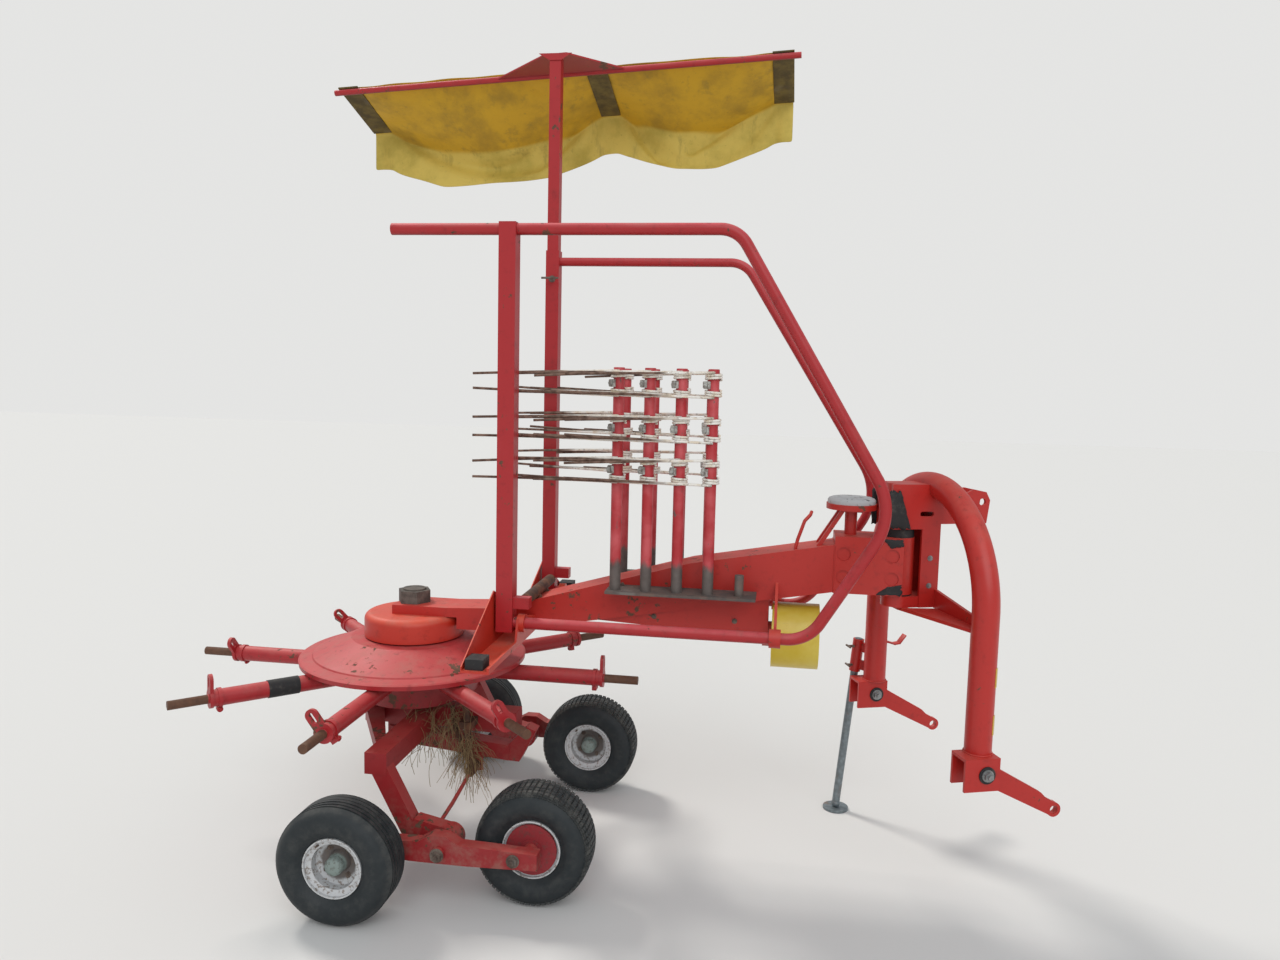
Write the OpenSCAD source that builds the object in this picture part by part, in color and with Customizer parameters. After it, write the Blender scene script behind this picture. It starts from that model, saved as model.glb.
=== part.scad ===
// Single-rotor hay rake in transport fold, resting on four small wheels and a parking stand.
// Own frame in millimetres: X forward to the hitch, Y to the left, Z up, ground at z = 0.
// The model is drawn about the rotor axis and shifted along X, so that its box is centred.

/* [Rotor] */
// Height of the centre line of the rotor's arm stubs
arm_z = 646; // [600:5:700]
// Radius of the rotor pan at its rim
pan_r = 436; // [380:2:480]
// Height of the pan from the rim's lower edge to its flat top
pan_h = 92; // [70:2:110]
// Radius of the pan's flat top
pan_top_r = 240; // [215:5:280]
// Thickness of the pan's sheet
pan_wall = 4; // [3:0.5:6]
// Number of arms, on the rotor and in the two racks together
arm_count = 8; // [8:2:8]
// Radius from the rotor axis to the flange on an arm stub
flange_r = 758; // [700:2:800]
// Radius from the rotor axis to the tip of an arm stub
stub_tip_r = 897; // [860:1:920]
// Diameter of an arm stub's tube
stub_d = 60; // [50:1:64]
// Diameter of the bare rod that a tine arm slides on
spigot_d = 32; // [28:0.5:36]
// Radius of the gear drum above the pan
drum_r = 191; // [150:1:205]
// Height of the gear drum
drum_h = 90; // [70:2:110]

/* [Stored tine arms] */
// Outer diameter of a tine arm's tube
tine_arm_d = 40; // [38:1:44]
// Length of a tine arm
tine_arm_len = 800; // [700:10:860]
// Distance between neighbouring tine arms in a rack
rack_pitch = 112; // [110:1:120]
// Distance of the stored arms from the machine's middle plane
rack_y = 167; // [163:1:170]
// Diameter of the spring wire of the tines
wire_d = 9; // [7.5:0.5:9]
// Outer diameter of a tine's coil
coil_d = 62; // [58:1:62]
// Setback of the left rack against the right one
rack_back = 30; // [0:5:40]
// Length of a tine from its coil to its tip
tine_len = 520; // [400:10:540]
// Turn of the tines away from the machine's middle plane, in degrees
tine_turn = 4.95; // [4.9:0.05:5.1]

/* [Frame beam] */
// Width of the frame beam
beam_w = 160; // [140:2:180]
// Height of the frame beam at its rear end
beam_rear_h = 90; // [80:1:100]
// Height of the frame beam at the beam head
beam_front_h = 172; // [160:2:190]
// Height of the beam head
head_h = 206; // [190:2:220]
// Distance from the rotor axis to the beam head
head_x = 1610; // [1600:5:1630]
// Distance from the rotor axis to the kingpin
kingpin_x = 1840; // [1835:5:1900]
// Diameter of the kingpin
kingpin_d = 50; // [40:1:60]

/* [Headstock] */
// Turn of the headstock to the left as it is parked, in degrees
park_turn = 20.3; // [0:0.1:21]
// Distance between the middles of the two lower link tongues
link_spread = 820; // [790:5:850]
// Height of the lower link pins
link_z = 535; // [500:5:560]
// Diameter of the lower link pins
link_pin_d = 28; // [22:0.5:32]
// Bore of the lower link tongues for the tractor's pins
tongue_bore = 29; // [22:0.5:30]
// Height of the top link pin
top_link_z = 1380; // [1350:5:1390]
// Bore of the top link clevis
top_link_bore = 25.7; // [19:0.1:32]
// Outer diameter of the hoop's tube
hoop_d = 88.9; // [76:0.1:95]
// Distance of the hoop's tube ahead of the kingpin
hoop_x = 122; // [115:1:135]
// Height of the hoop's top above its lower link pins
hoop_rise = 905; // [880:5:930]

/* [Parking stand] */
// Outer diameter of the stand's tube
stand_d = 32; // [30:1:42]
// Diameter of the stand's foot plate
foot_d = 105; // [80:5:120]
// Length of the stand from the foot to its top end
stand_len = 745; // [740:5:780]

/* [Folding guards] */
// Height of the hinge line of both guards
hinge_z = 918; // [905:1:930]
// Distance of the guards' hinge lines from the machine's middle plane
hinge_y = 280; // [278:1:300]
// Height of the guards above their hinge line
guard_h = 1379; // [1200:1:1450]
// Outer diameter of the guards' loop tube
guard_tube_d = 41; // [34:0.5:44]
// Outer diameter of the left guard's loop tube
left_tube_d = 34; // [30:0.5:41]
// Width of the square post of the right guard
right_post_w = 60; // [45:1:62]
// Wall of the outer post
post_wall = 3.5; // [3:0.5:5]
// Distance of the wings' outer ends from the machine's middle plane
wing_out = 650; // [620:5:680]

/* [Curtain] */
// Height of the inner post's top
curtain_z = 3050; // [2900:10:3100]
// Width of the square inner post that slides in the left guard's post
inner_post_w = 45; // [40:0.5:46]
// Length of the inner post
inner_post_len = 1250; // [1150:10:1400]
// Length of the curtain's bar
bar_len = 1960; // [1500:10:2100]
// Diameter of the curtain's bar
bar_d = 24; // [20:1:32]
// Reach of the curtain outward from its bar
curtain_reach = 350; // [250:10:380]
// Fall of the stiffeners outward from level
curtain_fall = 16; // [8:1:20]
// Length of the curtain that hangs free past its stiffeners
curtain_hang = 150; // [100:5:180]
// Thickness of the curtain's cloth as a plain sheet
curtain_thick = 4; // [3:0.5:6]

/* [Wheels] */
// Outer diameter of a tyre
tyre_d = 406; // [390:2:420]
// Width of a tyre
tyre_w = 165; // [150:1:170]
// Diameter of a rim's bead seat
rim_d = 203; // [195:1:215]
// Distance from the rotor axis forward to the rear wheels
rear_wheel_x = 30; // [10:2:60]
// Distance from the rotor axis forward to the front wheels
front_wheel_x = 624; // [600:2:640]
// Distance of the rocker arms from the machine's middle plane
rocker_y = 590; // [580:1:620]
// Width of a rocker arm
rocker_w = 50; // [40:1:56]
// Height of a rocker arm
rocker_h = 70; // [60:1:80]
// Diameter of the stub axles
axle_d = 30; // [25:1:36]

/* [Hidden] */
$fn = 64;
RIGHT = -1;
LEFT = 1;
RED = "#c8463f";
ORANGE_RED = "#d2452f";
RUST = "#6e4a38";
STEEL = "#8c8780";
RUBBER = "#26292c";

// Clearances
fit = 0.3;
run = 6;

// Rotor heights
stub_r = stub_d / 2;
pan_rim_z = arm_z + stub_r + run;
pan_top_z = pan_rim_z + pan_h;
drum_z = pan_top_z + run;
drum_top_z = drum_z + drum_h;
column_r = 55;
hub_r = 200;
hub_z = arm_z - stub_r - 10;
hub_h = stub_d + 14;
// Turn of each arm stub about its own axis as the cam holds it, for the lugs on the flanges
arm_turns = [0, 10, 25, 40, 40, 5, -36, -30];
flange_t = 12;
lug_w = 44;
lug_tip = 68;
lug_slot_at = 60;
lug_slot_l = 38;
lug_slot_w = 13;
cam_r = 185;
cam_z = 530;
cam_h = hub_z - fit - cam_z;

// Frame beam: the underside and top as [x, z] at the rear end, the kink, the racks and the head
beam_rear_x = 200;
beam_rear_z = drum_top_z - 45;
beam_kink_x = 360;
head_z = 1046;
beam_head_top = head_z + beam_front_h + 3;
beam_low_z = beam_rear_z;
function beam_under(x) = beam_low_z + (head_z + 3 - beam_low_z) * max(0, x - beam_kink_x)
    / (head_x - beam_kink_x);
beam_mid_x = 1092;
beam_mid_top = beam_low_z + 302;
function beam_top(x) = x < beam_kink_x ? beam_low_z + beam_rear_h
    : x < beam_mid_x ? beam_low_z + beam_rear_h + (beam_mid_top - beam_low_z - beam_rear_h)
        * (x - beam_kink_x) / (beam_mid_x - beam_kink_x)
    : beam_mid_top + (beam_head_top - beam_mid_top) * (x - beam_mid_x) / (head_x - beam_mid_x);

neck_top = beam_top(beam_kink_x) - 10;

// Stored arms
rack_x = 829;
rack_t = 10;
rack_z = 1035;
rack_count = arm_count / 2;
spigot_h = 75;
rack_l = (rack_count + 0.4) * rack_pitch + 46;
function rack_start(side) = side > 0 ? rack_x - rack_back : rack_x;
tine_level = [744, 586, 437];
clamp_h = 28;
clamp_w = 32;
clamp_out = 16;
tine_close = 0.65;
coil_turns = 4;
coil_pitch = wire_d - 0.6;
coil_r = (coil_d - wire_d) / 2;

// Headstock heights
hoop_r = link_spread / 2 - 18;
hoop_top_z = link_z + hoop_rise;
lug_t = 40;
column_low_z = head_z - run - lug_t;
column_top_z = hoop_top_z + 6;
column_high_z = column_top_z - lug_t;
upper_boss_h = column_high_z - run - head_z - head_h;
boss_r = kingpin_d / 2 + 30;
upper_boss_r = kingpin_d / 2 + 15;
column_half = upper_boss_r + run + 14;
clevis_h = 110;
clevis_len = 125;
clevis_gap = 70;
clevis_wall = 10;
clevis_back = clevis_len / 2 + 16;

// Disc behind the headstock that the drive shaft rests on
disc_x = 1667;
disc_z = head_z + head_h + 93;
disc_r = 90;
disc_t = 20;

// Stand: slope of its tube, its place beside the left leg and the ground under its foot
stand_back = 0.09;
stand_out = 0.02;
stand_slope = [-stand_back, stand_out, -1];
stand_axis = stand_slope / norm(stand_slope);
stand_guide_z = 640;
stand_side = (link_spread + clevis_gap + stand_d) / 2 + clevis_wall + run - hoop_r;
stand_at = [hoop_x - 46, hoop_r + stand_side, stand_guide_z];
stand_foot = stand_at + stand_axis * (stand_guide_z / -stand_axis[2]);
foot_t = 10;
stand_sleeve = 135;
function on_stand(z) = stand_at + stand_axis * ((stand_guide_z - z) / -stand_axis[2]);

// Guards and curtain
right_post_x = 456;
left_post_x = 475;
post_gap = 0.5;
left_post_w = inner_post_w + 2 * (post_wall + post_gap);
guard_top_z = hinge_z + guard_h;
function eye_r(tube_d) = tube_d / 2 + 12;
front_eye_x = 1410;
wing_floor_z = hinge_z - 70;
wing_t = 8;
pad_l = 70;
pad_w = 60;
loop_rear_x = 31;
loop_top_corner_x = 1240;
loop_low_corner_x = 1522;
knee = [1796, hinge_z + 449];
pto_z = hinge_z - 56;
pto_d = 34.9;
pto_seat_d = 44;
pto_seat_x = 1402;
pto_free = 98;

// Chassis
wheel_r = tyre_d / 2;
pivot_x = (rear_wheel_x + front_wheel_x) / 2;
rear_wheel_y = rocker_y + rocker_w / 2 + 16 + tyre_w / 2;
front_wheel_y = rocker_y - rocker_w / 2 - 17 - tyre_w / 2;
leg_w = 60;
leg_h = 60;
leg_gap = 35;
leg_y = rocker_y - rocker_w / 2 - leg_gap - leg_w / 2;
leg_top_x = 70;
leg_foot_x = pivot_x - 118;
foot_r = 46;
brace_h = 50;
frame_h = 76;
frame_z = 458;
rail_w = 80;
rail_rear = 190;
pin_seat_y = 37;
rail_front = 430;
pivot_d = 32;
collar_len = rear_wheel_y - tyre_w * 0.36 - 6 - rocker_y - rocker_w / 2;

// The box of the whole machine is centred on the origin
tongue_len = 342;
tongue_tilt = 28.5;
tongue_h = 74;
tongue_tip_h = 50;
tongue_t = 24;
tongue_hole = tongue_len - tongue_tip_h / 2;
tongue_reach = tongue_hole * cos(tongue_tilt) + tongue_tip_h / 2;
front_reach = kingpin_x + cos(park_turn) * (hoop_x + tongue_reach)
    + sin(park_turn) * (link_spread + tongue_t) / 2;
mid_x = (front_reach - stub_tip_r) / 2;

module place() {
    translate([-mid_x, 0, 0]) children();
}

// Round bar between two points
module rod(a, b, d) {
    v = b - a;
    translate(a) rotate([0, acos(v[2] / norm(v)), atan2(v[1], v[0])]) cylinder(d = d, h = norm(v));
}

// Box section between two points of one plane y, as wide along Y as w and h deep
module strut(a, b, w, h) {
    v = b - a;
    translate(a) rotate([0, -atan2(v[2], v[0]), 0]) translate([0, -w / 2, -h / 2])
        cube([norm(v), w, h]);
}

// Flat outline in X and Z, thick along Y from y to y + t
module side_plate(y, t, pts) {
    translate([0, y + t, 0]) rotate([90, 0, 0]) linear_extrude(t) polygon(pts);
}

// Bent tube along flat points, with a bend of radius r[i] at each inner point; a bend is swelled a
// little, and the straight stretches end 1 mm inside it
swell = 0.3;
function heading(a, b) = atan2(b[1] - a[1], b[0] - a[0]);
function bend_at(a, b, c) = let (t = heading(b, c) - heading(a, b))
    t > 180 ? t - 360 : t < -180 ? t + 360 : t;
function bend_cut(a, b, c, r) = r * tan(abs(bend_at(a, b, c)) / 2);
module bent_tube(pts, r, d) {
    last = len(pts) - 1;
    for (i = [0 : last - 1]) {
        from = i == 0 ? 0 : bend_cut(pts[i - 1], pts[i], pts[i + 1], r[i]) - 1;
        to = i == last - 1 ? 0 : bend_cut(pts[i], pts[i + 1], pts[i + 2], r[i + 1]) - 1;
        translate(pts[i]) rotate([0, 0, heading(pts[i], pts[i + 1])]) translate([from, 0, 0])
            rotate([0, 90, 0]) cylinder(d = d, h = norm(pts[i + 1] - pts[i]) - from - to);
    }
    for (i = [1 : last - 1]) {
        t = bend_at(pts[i - 1], pts[i], pts[i + 1]);
        along = heading(pts[i - 1], pts[i]);
        back = bend_cut(pts[i - 1], pts[i], pts[i + 1], r[i]);
        side = t > 0 ? 1 : -1;
        translate(pts[i]) rotate([0, 0, along]) translate([-back, side * r[i], 0])
            rotate([0, 0, side > 0 ? -90 : 90 + t]) rotate_extrude(angle = abs(t))
                translate([r[i], 0]) circle(d = d + swell);
    }
}

module main_beam() {
    color(RED) place() {
        side_plate(-beam_w / 2, beam_w, [
            [beam_rear_x, beam_rear_z],
            [beam_kink_x, beam_under(beam_kink_x)],
            [head_x, beam_under(head_x)],
            [head_x, beam_top(head_x)],
            [beam_mid_x, beam_top(beam_mid_x)],
            [beam_kink_x, beam_top(beam_kink_x)],
            [160, neck_top],
            [-60, neck_top],
            [-60, drum_top_z],
            [beam_rear_x, drum_top_z]]);
        front_hinge(RIGHT, guard_tube_d);
        front_hinge(LEFT, left_tube_d);
    }
}

// Bracket at the front end of a guard's hinge line, with the eye that the guard's tube turns in
module front_hinge(side, tube_d) {
    root_z = beam_under(front_eye_x) + 60;
    r = eye_r(tube_d);
    difference() {
        union() {
            translate([front_eye_x - 5, 0, 0]) rotate([90, 0, 90]) linear_extrude(10) polygon([
                [side * beam_w / 2, root_z],
                [side * beam_w / 2, root_z - 55],
                [side * (hinge_y - r), hinge_z - 22],
                [side * hinge_y, hinge_z],
                [side * (hinge_y - 8), hinge_z + r - 4]]);
            translate([front_eye_x - 20, side * hinge_y, hinge_z]) rotate([0, 90, 0])
                cylinder(r = r, h = 40);
        }
        translate([front_eye_x - 50, side * hinge_y, hinge_z]) rotate([0, 90, 0])
            cylinder(d = tube_d + 2 * fit, h = 100);
    }
}

module beam_head() {
    dimple = [[1642, 60], [1642, 143], [1812, 60], [1812, 143]];
    color(RED) place() difference() {
        union() {
            side_plate(-beam_w / 2, beam_w, [
                [head_x, head_z],
                [kingpin_x + 10, head_z],
                [kingpin_x + 10, head_z + head_h],
                [head_x, head_z + head_h]]);
            translate([kingpin_x, 0, head_z]) cylinder(r = boss_r, h = head_h);
            translate([kingpin_x, 0, head_z + head_h]) cylinder(r = upper_boss_r, h = upper_boss_h);
        }
        translate([kingpin_x, 0, head_z - 1])
            cylinder(d = kingpin_d + 2 * fit, h = head_h + upper_boss_h + 2);
        for (side = [RIGHT, LEFT], c = dimple)
            translate([c[0], side * (beam_w / 2 + 5), head_z + c[1]]) rotate([90, 0, 0])
                cylinder(r = 25, h = 22, center = true);
    }
}

module gear_drum() {
    edge = 26;
    color(ORANGE_RED) place() translate([0, 0, drum_z]) rotate_extrude() {
        square([drum_r - edge, drum_h]);
        square([drum_r, drum_h - edge]);
        translate([drum_r - edge, drum_h - edge]) circle(r = edge);
    }
}

module drum_cap() {
    color(RUST) place() translate([0, 0, neck_top]) {
        cylinder(r = 65, h = 48, $fn = 6);
        cylinder(r = 44, h = 54);
    }
}

module drive_panel() {
    rear = 723;
    front = 1383;
    width = 110;
    color(RED) place() difference() {
        union() {
            side_plate(-width / 2, width, [
                [rear, beam_under(rear)],
                [front, pto_z - 5],
                [front, beam_under(front)]]);
            translate([front - 20, 0, pto_z]) rotate([0, 90, 0]) cylinder(r = 46, h = 34);
        }
        translate([front - 60, 0, pto_z]) rotate([0, 90, 0])
            cylinder(d = pto_seat_d + 2 * fit, h = 100);
    }
}

module pto_shaft() {
    seat = 70;
    color(STEEL) place() translate([pto_seat_x, 0, pto_z]) rotate([0, 90, 0]) {
        translate([0, 0, -seat]) cylinder(d = pto_seat_d, h = seat);
        translate([0, 0, -seat / 2]) cylinder(d = pto_d, h = pto_free + seat / 2);
    }
}

module pto_cup() {
    color("gold") place() translate([1397, 0, pto_z]) rotate([0, 90, 0]) difference() {
        cylinder(r = 120, h = 171);
        translate([0, 0, 4]) cylinder(r = 116, h = 200);
        translate([0, 0, -1]) cylinder(r = 38, h = 10);
    }
}

module rest_disc() {
    base_z = head_z + head_h;
    color(RED) place() {
        translate([disc_x, 0, disc_z]) cylinder(r = disc_r, h = disc_t);
        translate([disc_x, 0, base_z]) cylinder(r = 22, h = disc_z - base_z);
        for (y = [-50, 32])
            side_plate(y, 18, [
                [1545, beam_top(1545)],
                [1565, beam_top(1565)],
                [1640, disc_z - 8],
                [disc_x + 38, disc_z - 8],
                [disc_x + 38, disc_z],
                [1628, disc_z]]);
    }
}

module rest_plate() {
    r = disc_r - 4;
    color("gainsboro") place() translate([disc_x, 0, disc_z + disc_t]) rotate_extrude()
        polygon([[0, 0], [r, 0], [r, 12], [r - 4, 18], [r - 14, 22], [0, 22]]);
}

module rack(side) {
    color(RUST) place() {
        translate([rack_start(side) - 30, side > 0 ? beam_w / 2 : -rack_y - 45, rack_z - rack_t])
            cube([rack_l, rack_y + 45 - beam_w / 2, rack_t]);
        for (i = [0 : rack_count])
            translate([rack_start(side) + i * rack_pitch, side * rack_y, rack_z])
                cylinder(d = spigot_d, h = spigot_h);
    }
}

module rack_right() rack(RIGHT);
module rack_left() rack(LEFT);

// Tine arm i of one rack: a tube over the rack's spigot, with three pairs of spring tines
module stored_arm(i, side) {
    color(RED) place() translate([rack_start(side) + i * rack_pitch, side * rack_y, rack_z])
        difference() {
        union() {
            cylinder(d = tine_arm_d, h = tine_arm_len);
            for (z = tine_level) translate([0, 0, z]) tine_pair(side);
        }
        translate([0, 0, -1]) cylinder(d = spigot_d + 2 * fit, h = tine_arm_len + 2);
    }
}

module tine_pair(side) {
    stack = (coil_turns - 1) * coil_pitch + wire_d;
    turn = [[0, -wire_d / 2], [wire_d / 2, -1], [wire_d / 2, 1], [0, coil_pitch - wire_d / 2 - 0.2]];
    rotate([0, 0, -side * tine_turn]) {
        translate([-tine_arm_d / 2 - clamp_out, -clamp_w / 2, -clamp_h / 2])
            cube([clamp_out + 14, clamp_w, clamp_h]);
        for (up = [-1, 1]) {
            translate([0, 0, up * (clamp_h + stack - 1) / 2]) rotate_extrude() polygon(concat(
                [[tine_arm_d / 2 - 1, stack / 2], [tine_arm_d / 2 - 1, -stack / 2]],
                [for (k = [0 : coil_turns - 1], p = turn) [coil_r + p[0],
                    k * coil_pitch + wire_d / 2 - stack / 2 + p[1]]]));
            level = up * (clamp_h / 2 + stack - wire_d / 2);
            rod([0, side * coil_r, level], [-tine_len, side * coil_r, level * tine_close], wire_d);
        }
    }
}

module cross_pipe() {
    pipe_d = 42;
    pipe_x = 500;
    pipe_z = beam_top(pipe_x) + pipe_d / 2 + 4;
    color(RUST) place() {
        difference() {
            translate([pipe_x, -190, pipe_z]) rotate([-90, 0, 0]) cylinder(d = pipe_d, h = 380);
            translate([pipe_x, -200, pipe_z]) rotate([-90, 0, 0]) cylinder(d = pipe_d - 8, h = 400);
        }
        for (y = [-60, 48])
            side_plate(y, 12, [
                [pipe_x - 30, beam_top(pipe_x - 30)],
                [pipe_x + 30, beam_top(pipe_x + 30)],
                [pipe_x + 21, pipe_z - 5],
                [pipe_x + 15, pipe_z - 14.5],
                [pipe_x, pipe_z - pipe_d / 2 + 0.5],
                [pipe_x - 15, pipe_z - 14.5],
                [pipe_x - 21, pipe_z - 5]]);
    }
}

// Channel beside the beam that a folded guard's post lies in, with the rear hinge eye
module guard_bracket(side, post_x, post_w, tube_d) {
    rear = post_x - post_w / 2 - 12;
    front = post_x + post_w / 2 + 24;
    out = side * wing_out;
    color(ORANGE_RED) place() difference() {
        union() {
            translate([rear, side > 0 ? beam_w / 2 : out, wing_floor_z - wing_t])
                cube([front - rear, wing_out - beam_w / 2, wing_t]);
            translate([rear, 0, 0]) rotate([90, 0, 90]) linear_extrude(wing_t / 2) polygon([
                [side * beam_w / 2, wing_floor_z],
                [out, wing_floor_z],
                [out, wing_floor_z + 12],
                [side * (hinge_y + 25), hinge_z + 118],
                [side * beam_w / 2, wing_floor_z + 90]]);
            translate([front - wing_t, 0, 0]) rotate([90, 0, 90]) linear_extrude(wing_t) polygon([
                [side * beam_w / 2, wing_floor_z],
                [out, wing_floor_z],
                [out, wing_floor_z + 12],
                [side * (hinge_y + 50), wing_floor_z + 14],
                [side * (hinge_y + 30), hinge_z + 20],
                [side * (hinge_y - 30), hinge_z + 20],
                [side * beam_w / 2, wing_floor_z + 50]]);
            translate([front - wing_t, side * hinge_y, hinge_z]) rotate([0, 90, 0])
                cylinder(r = eye_r(tube_d), h = 26);
        }
        translate([front - 20, side * hinge_y, hinge_z]) rotate([0, 90, 0])
            cylinder(d = tube_d + 2 * fit, h = 100);
    }
}

// Rubber block that a folded guard's post comes down on
module wing_pad(side, post_x, post_w) {
    y = side > 0 ? wing_out - pad_l - 10 : 10 - wing_out;
    color(RUBBER) place() translate([post_x - pad_w / 2, y, wing_floor_z])
        cube([pad_w, pad_l, hinge_z - post_w / 2 - 5 - wing_floor_z]);
}

module guard_bracket_right() guard_bracket(RIGHT, right_post_x, right_post_w, guard_tube_d);
module guard_bracket_left() guard_bracket(LEFT, left_post_x, left_post_w, left_tube_d);
module wing_pad_right() wing_pad(RIGHT, right_post_x, right_post_w);
module wing_pad_left() wing_pad(LEFT, left_post_x, left_post_w);

module rotor_column() {
    color(RUST) place() {
        translate([0, 0, frame_z + frame_h / 2]) cylinder(r = column_r - 16, h = 200);
        translate([0, 0, cam_z]) cylinder(r = column_r, h = drum_z - cam_z);
        translate([0, 0, cam_z]) cylinder(r = cam_r, h = cam_h);
    }
}

module chassis_frame() {
    low = frame_z - frame_h / 2;
    color(RED) place() {
        translate([-rail_rear, -rail_w / 2, low]) cube([rail_rear + rail_front, rail_w, frame_h]);
        strut([-95, 0, 375], [400, 0, 330], 70, 60);
        side_plate(-32, 64, [[385, 300], [440, 298], [505, 425], [468, 440], [390, 357]]);
        for (x = [-100, 150])
            translate([x, -28, 350]) cube([40, 56, low - 340]);
        translate([243, -pin_seat_y, 252]) cube([50, 12, 80]);
    }
}

// Cross arm and leg of one side, down to the pin that the rocker turns on
module leg(side) {
    root = rail_w / 2;
    span = leg_y + leg_w / 2 - root;
    color(RED) place() {
        translate([leg_top_x - 40, side > 0 ? root : -root - span, frame_z - frame_h / 2])
            cube([80, span, frame_h]);
        translate([0, 0, frame_z - brace_h / 2]) linear_extrude(brace_h) polygon([
            [-rail_rear, side * root], [-rail_rear + 80, side * root],
            [leg_top_x - 39, side * (leg_y - 150)], [leg_top_x - 39, side * (leg_y - 70)]]);
        translate([0, side * leg_y, 0]) strut([leg_top_x, 0, frame_z], [leg_foot_x, 0, wheel_r - 10],
            leg_w - 4, leg_h);
        side_plate(side * leg_y - leg_w / 2 + 2, leg_w - 4, [
            [leg_foot_x - 30, wheel_r - foot_r], [pivot_x, wheel_r - foot_r],
            [pivot_x, wheel_r + foot_r], [leg_foot_x, wheel_r + foot_r + 24]]);
        translate([pivot_x, side * leg_y, wheel_r]) rotate([90, 0, 0])
            cylinder(r = foot_r, h = leg_w + 2, center = true);
        translate([pivot_x, side * (leg_y + leg_w / 2 + leg_gap / 2), wheel_r]) rotate([90, 0, 0])
            cylinder(r = rocker_h / 2 - 4, h = leg_gap, center = true);
        translate([pivot_x, side * rocker_y, wheel_r]) rotate([90, 0, 0])
            cylinder(d = pivot_d, h = rocker_w + 2, center = true);
        translate([pivot_x, side * (rocker_y + rocker_w / 2 + 6), wheel_r]) rotate([90, 0, 0])
            cylinder(r = pivot_d / 2 + 8, h = 10, center = true);
    }
}

module leg_right() leg(RIGHT);
module leg_left() leg(LEFT);

module height_spindle() {
    y = -rail_w / 2 - 60;
    color(RUST) place() {
        rod([268, y, 262], [244, y, 545], 26);
        translate([225, y - 20, frame_z - 14]) cube([50, -y - rail_w / 2 + 20, 28]);
        translate([267, y - 14, 275]) rotate([-90, 0, 0]) cylinder(d = 40, h = 14 - y - pin_seat_y);
    }
}

module rocker(side) {
    y = side * rocker_y;
    half_h = rocker_h / 2;
    end_h = half_h - 8;
    rear_end = rear_wheel_y + 29;
    front_end = front_wheel_y - 29;
    color(RED) place() {
        difference() {
            side_plate(y - rocker_w / 2, rocker_w, [
                [rear_wheel_x - 42, wheel_r - end_h],
                [pivot_x - 90, wheel_r - half_h],
                [pivot_x + 90, wheel_r - half_h],
                [front_wheel_x + 42, wheel_r - end_h],
                [front_wheel_x + 42, wheel_r + end_h],
                [pivot_x + 70, wheel_r + half_h],
                [pivot_x + 26, wheel_r + half_h + 26],
                [pivot_x - 26, wheel_r + half_h + 26],
                [pivot_x - 70, wheel_r + half_h],
                [rear_wheel_x - 42, wheel_r + end_h]]);
            translate([pivot_x, y, wheel_r]) rotate([90, 0, 0])
                cylinder(d = pivot_d + 2 * fit, h = rocker_w + 2, center = true);
        }
        translate([rear_wheel_x, y, wheel_r]) rotate([side > 0 ? -90 : 90, 0, 0]) {
            cylinder(d = axle_d, h = rear_end - rocker_y);
            cylinder(r = axle_d / 2 + 10, h = rocker_w / 2 + collar_len - fit);
        }
        translate([front_wheel_x, y, wheel_r]) rotate([side > 0 ? 90 : -90, 0, 0]) {
            cylinder(d = axle_d, h = rocker_y - front_end);
            cylinder(r = axle_d / 2 + 10, h = rocker_w / 2 + collar_len + 1 - fit);
        }
    }
}

module rocker_right() rocker(RIGHT);
module rocker_left() rocker(LEFT);

module rotor_pan() {
    w = pan_wall;
    color(RED) place() translate([0, 0, pan_rim_z]) rotate_extrude() polygon([
        [column_r + run, pan_h - w], [pan_top_r, pan_h - w], [pan_r - 58, 28], [pan_r - 52, 22],
        [pan_r - 6, 14], [pan_r - 6, 0], [pan_r - 2, 0], [pan_r, 16], [pan_r - 6, 20],
        [pan_r - 50, 27], [pan_r - 54, 32], [pan_top_r, pan_h], [column_r + run, pan_h]]);
}

// Flange on an arm stub, with the slotted lug that holds a tine arm's key
module arm_flange() {
    rotate([0, 90, 0]) linear_extrude(flange_t, center = true) difference() {
        union() {
            circle(r = stub_r + 4);
            translate([-lug_tip, -lug_w / 2]) square([lug_tip, lug_w]);
            translate([-lug_tip, 0]) circle(d = lug_w);
        }
        translate([-lug_slot_at, 0]) {
            square([lug_slot_l - lug_slot_w, lug_slot_w], center = true);
            for (end = [-1, 1]) translate([end * (lug_slot_l - lug_slot_w) / 2, 0])
                circle(d = lug_slot_w);
        }
    }
}

module rotor_arms() {
    color(RED) place() difference() {
        union() {
            translate([0, 0, hub_z]) cylinder(r = hub_r, h = hub_h);
            translate([0, 0, hub_z]) cylinder(r = 95, h = pan_top_z - pan_wall - hub_z);
            for (i = [0 : arm_count - 1]) rotate([0, 0, i * 360 / arm_count]) {
                translate([hub_r - 30, 0, arm_z]) rotate([0, 90, 0])
                    cylinder(d = stub_d, h = flange_r - hub_r + 30);
                translate([flange_r, 0, arm_z]) rotate([0, 90, 0])
                    cylinder(d = spigot_d, h = stub_tip_r - flange_r);
                translate([flange_r, 0, arm_z]) rotate([-arm_turns[i], 0, 0]) arm_flange();
            }
        }
        translate([0, 0, hub_z - 1]) cylinder(r = column_r + fit, h = 400);
    }
}

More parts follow.
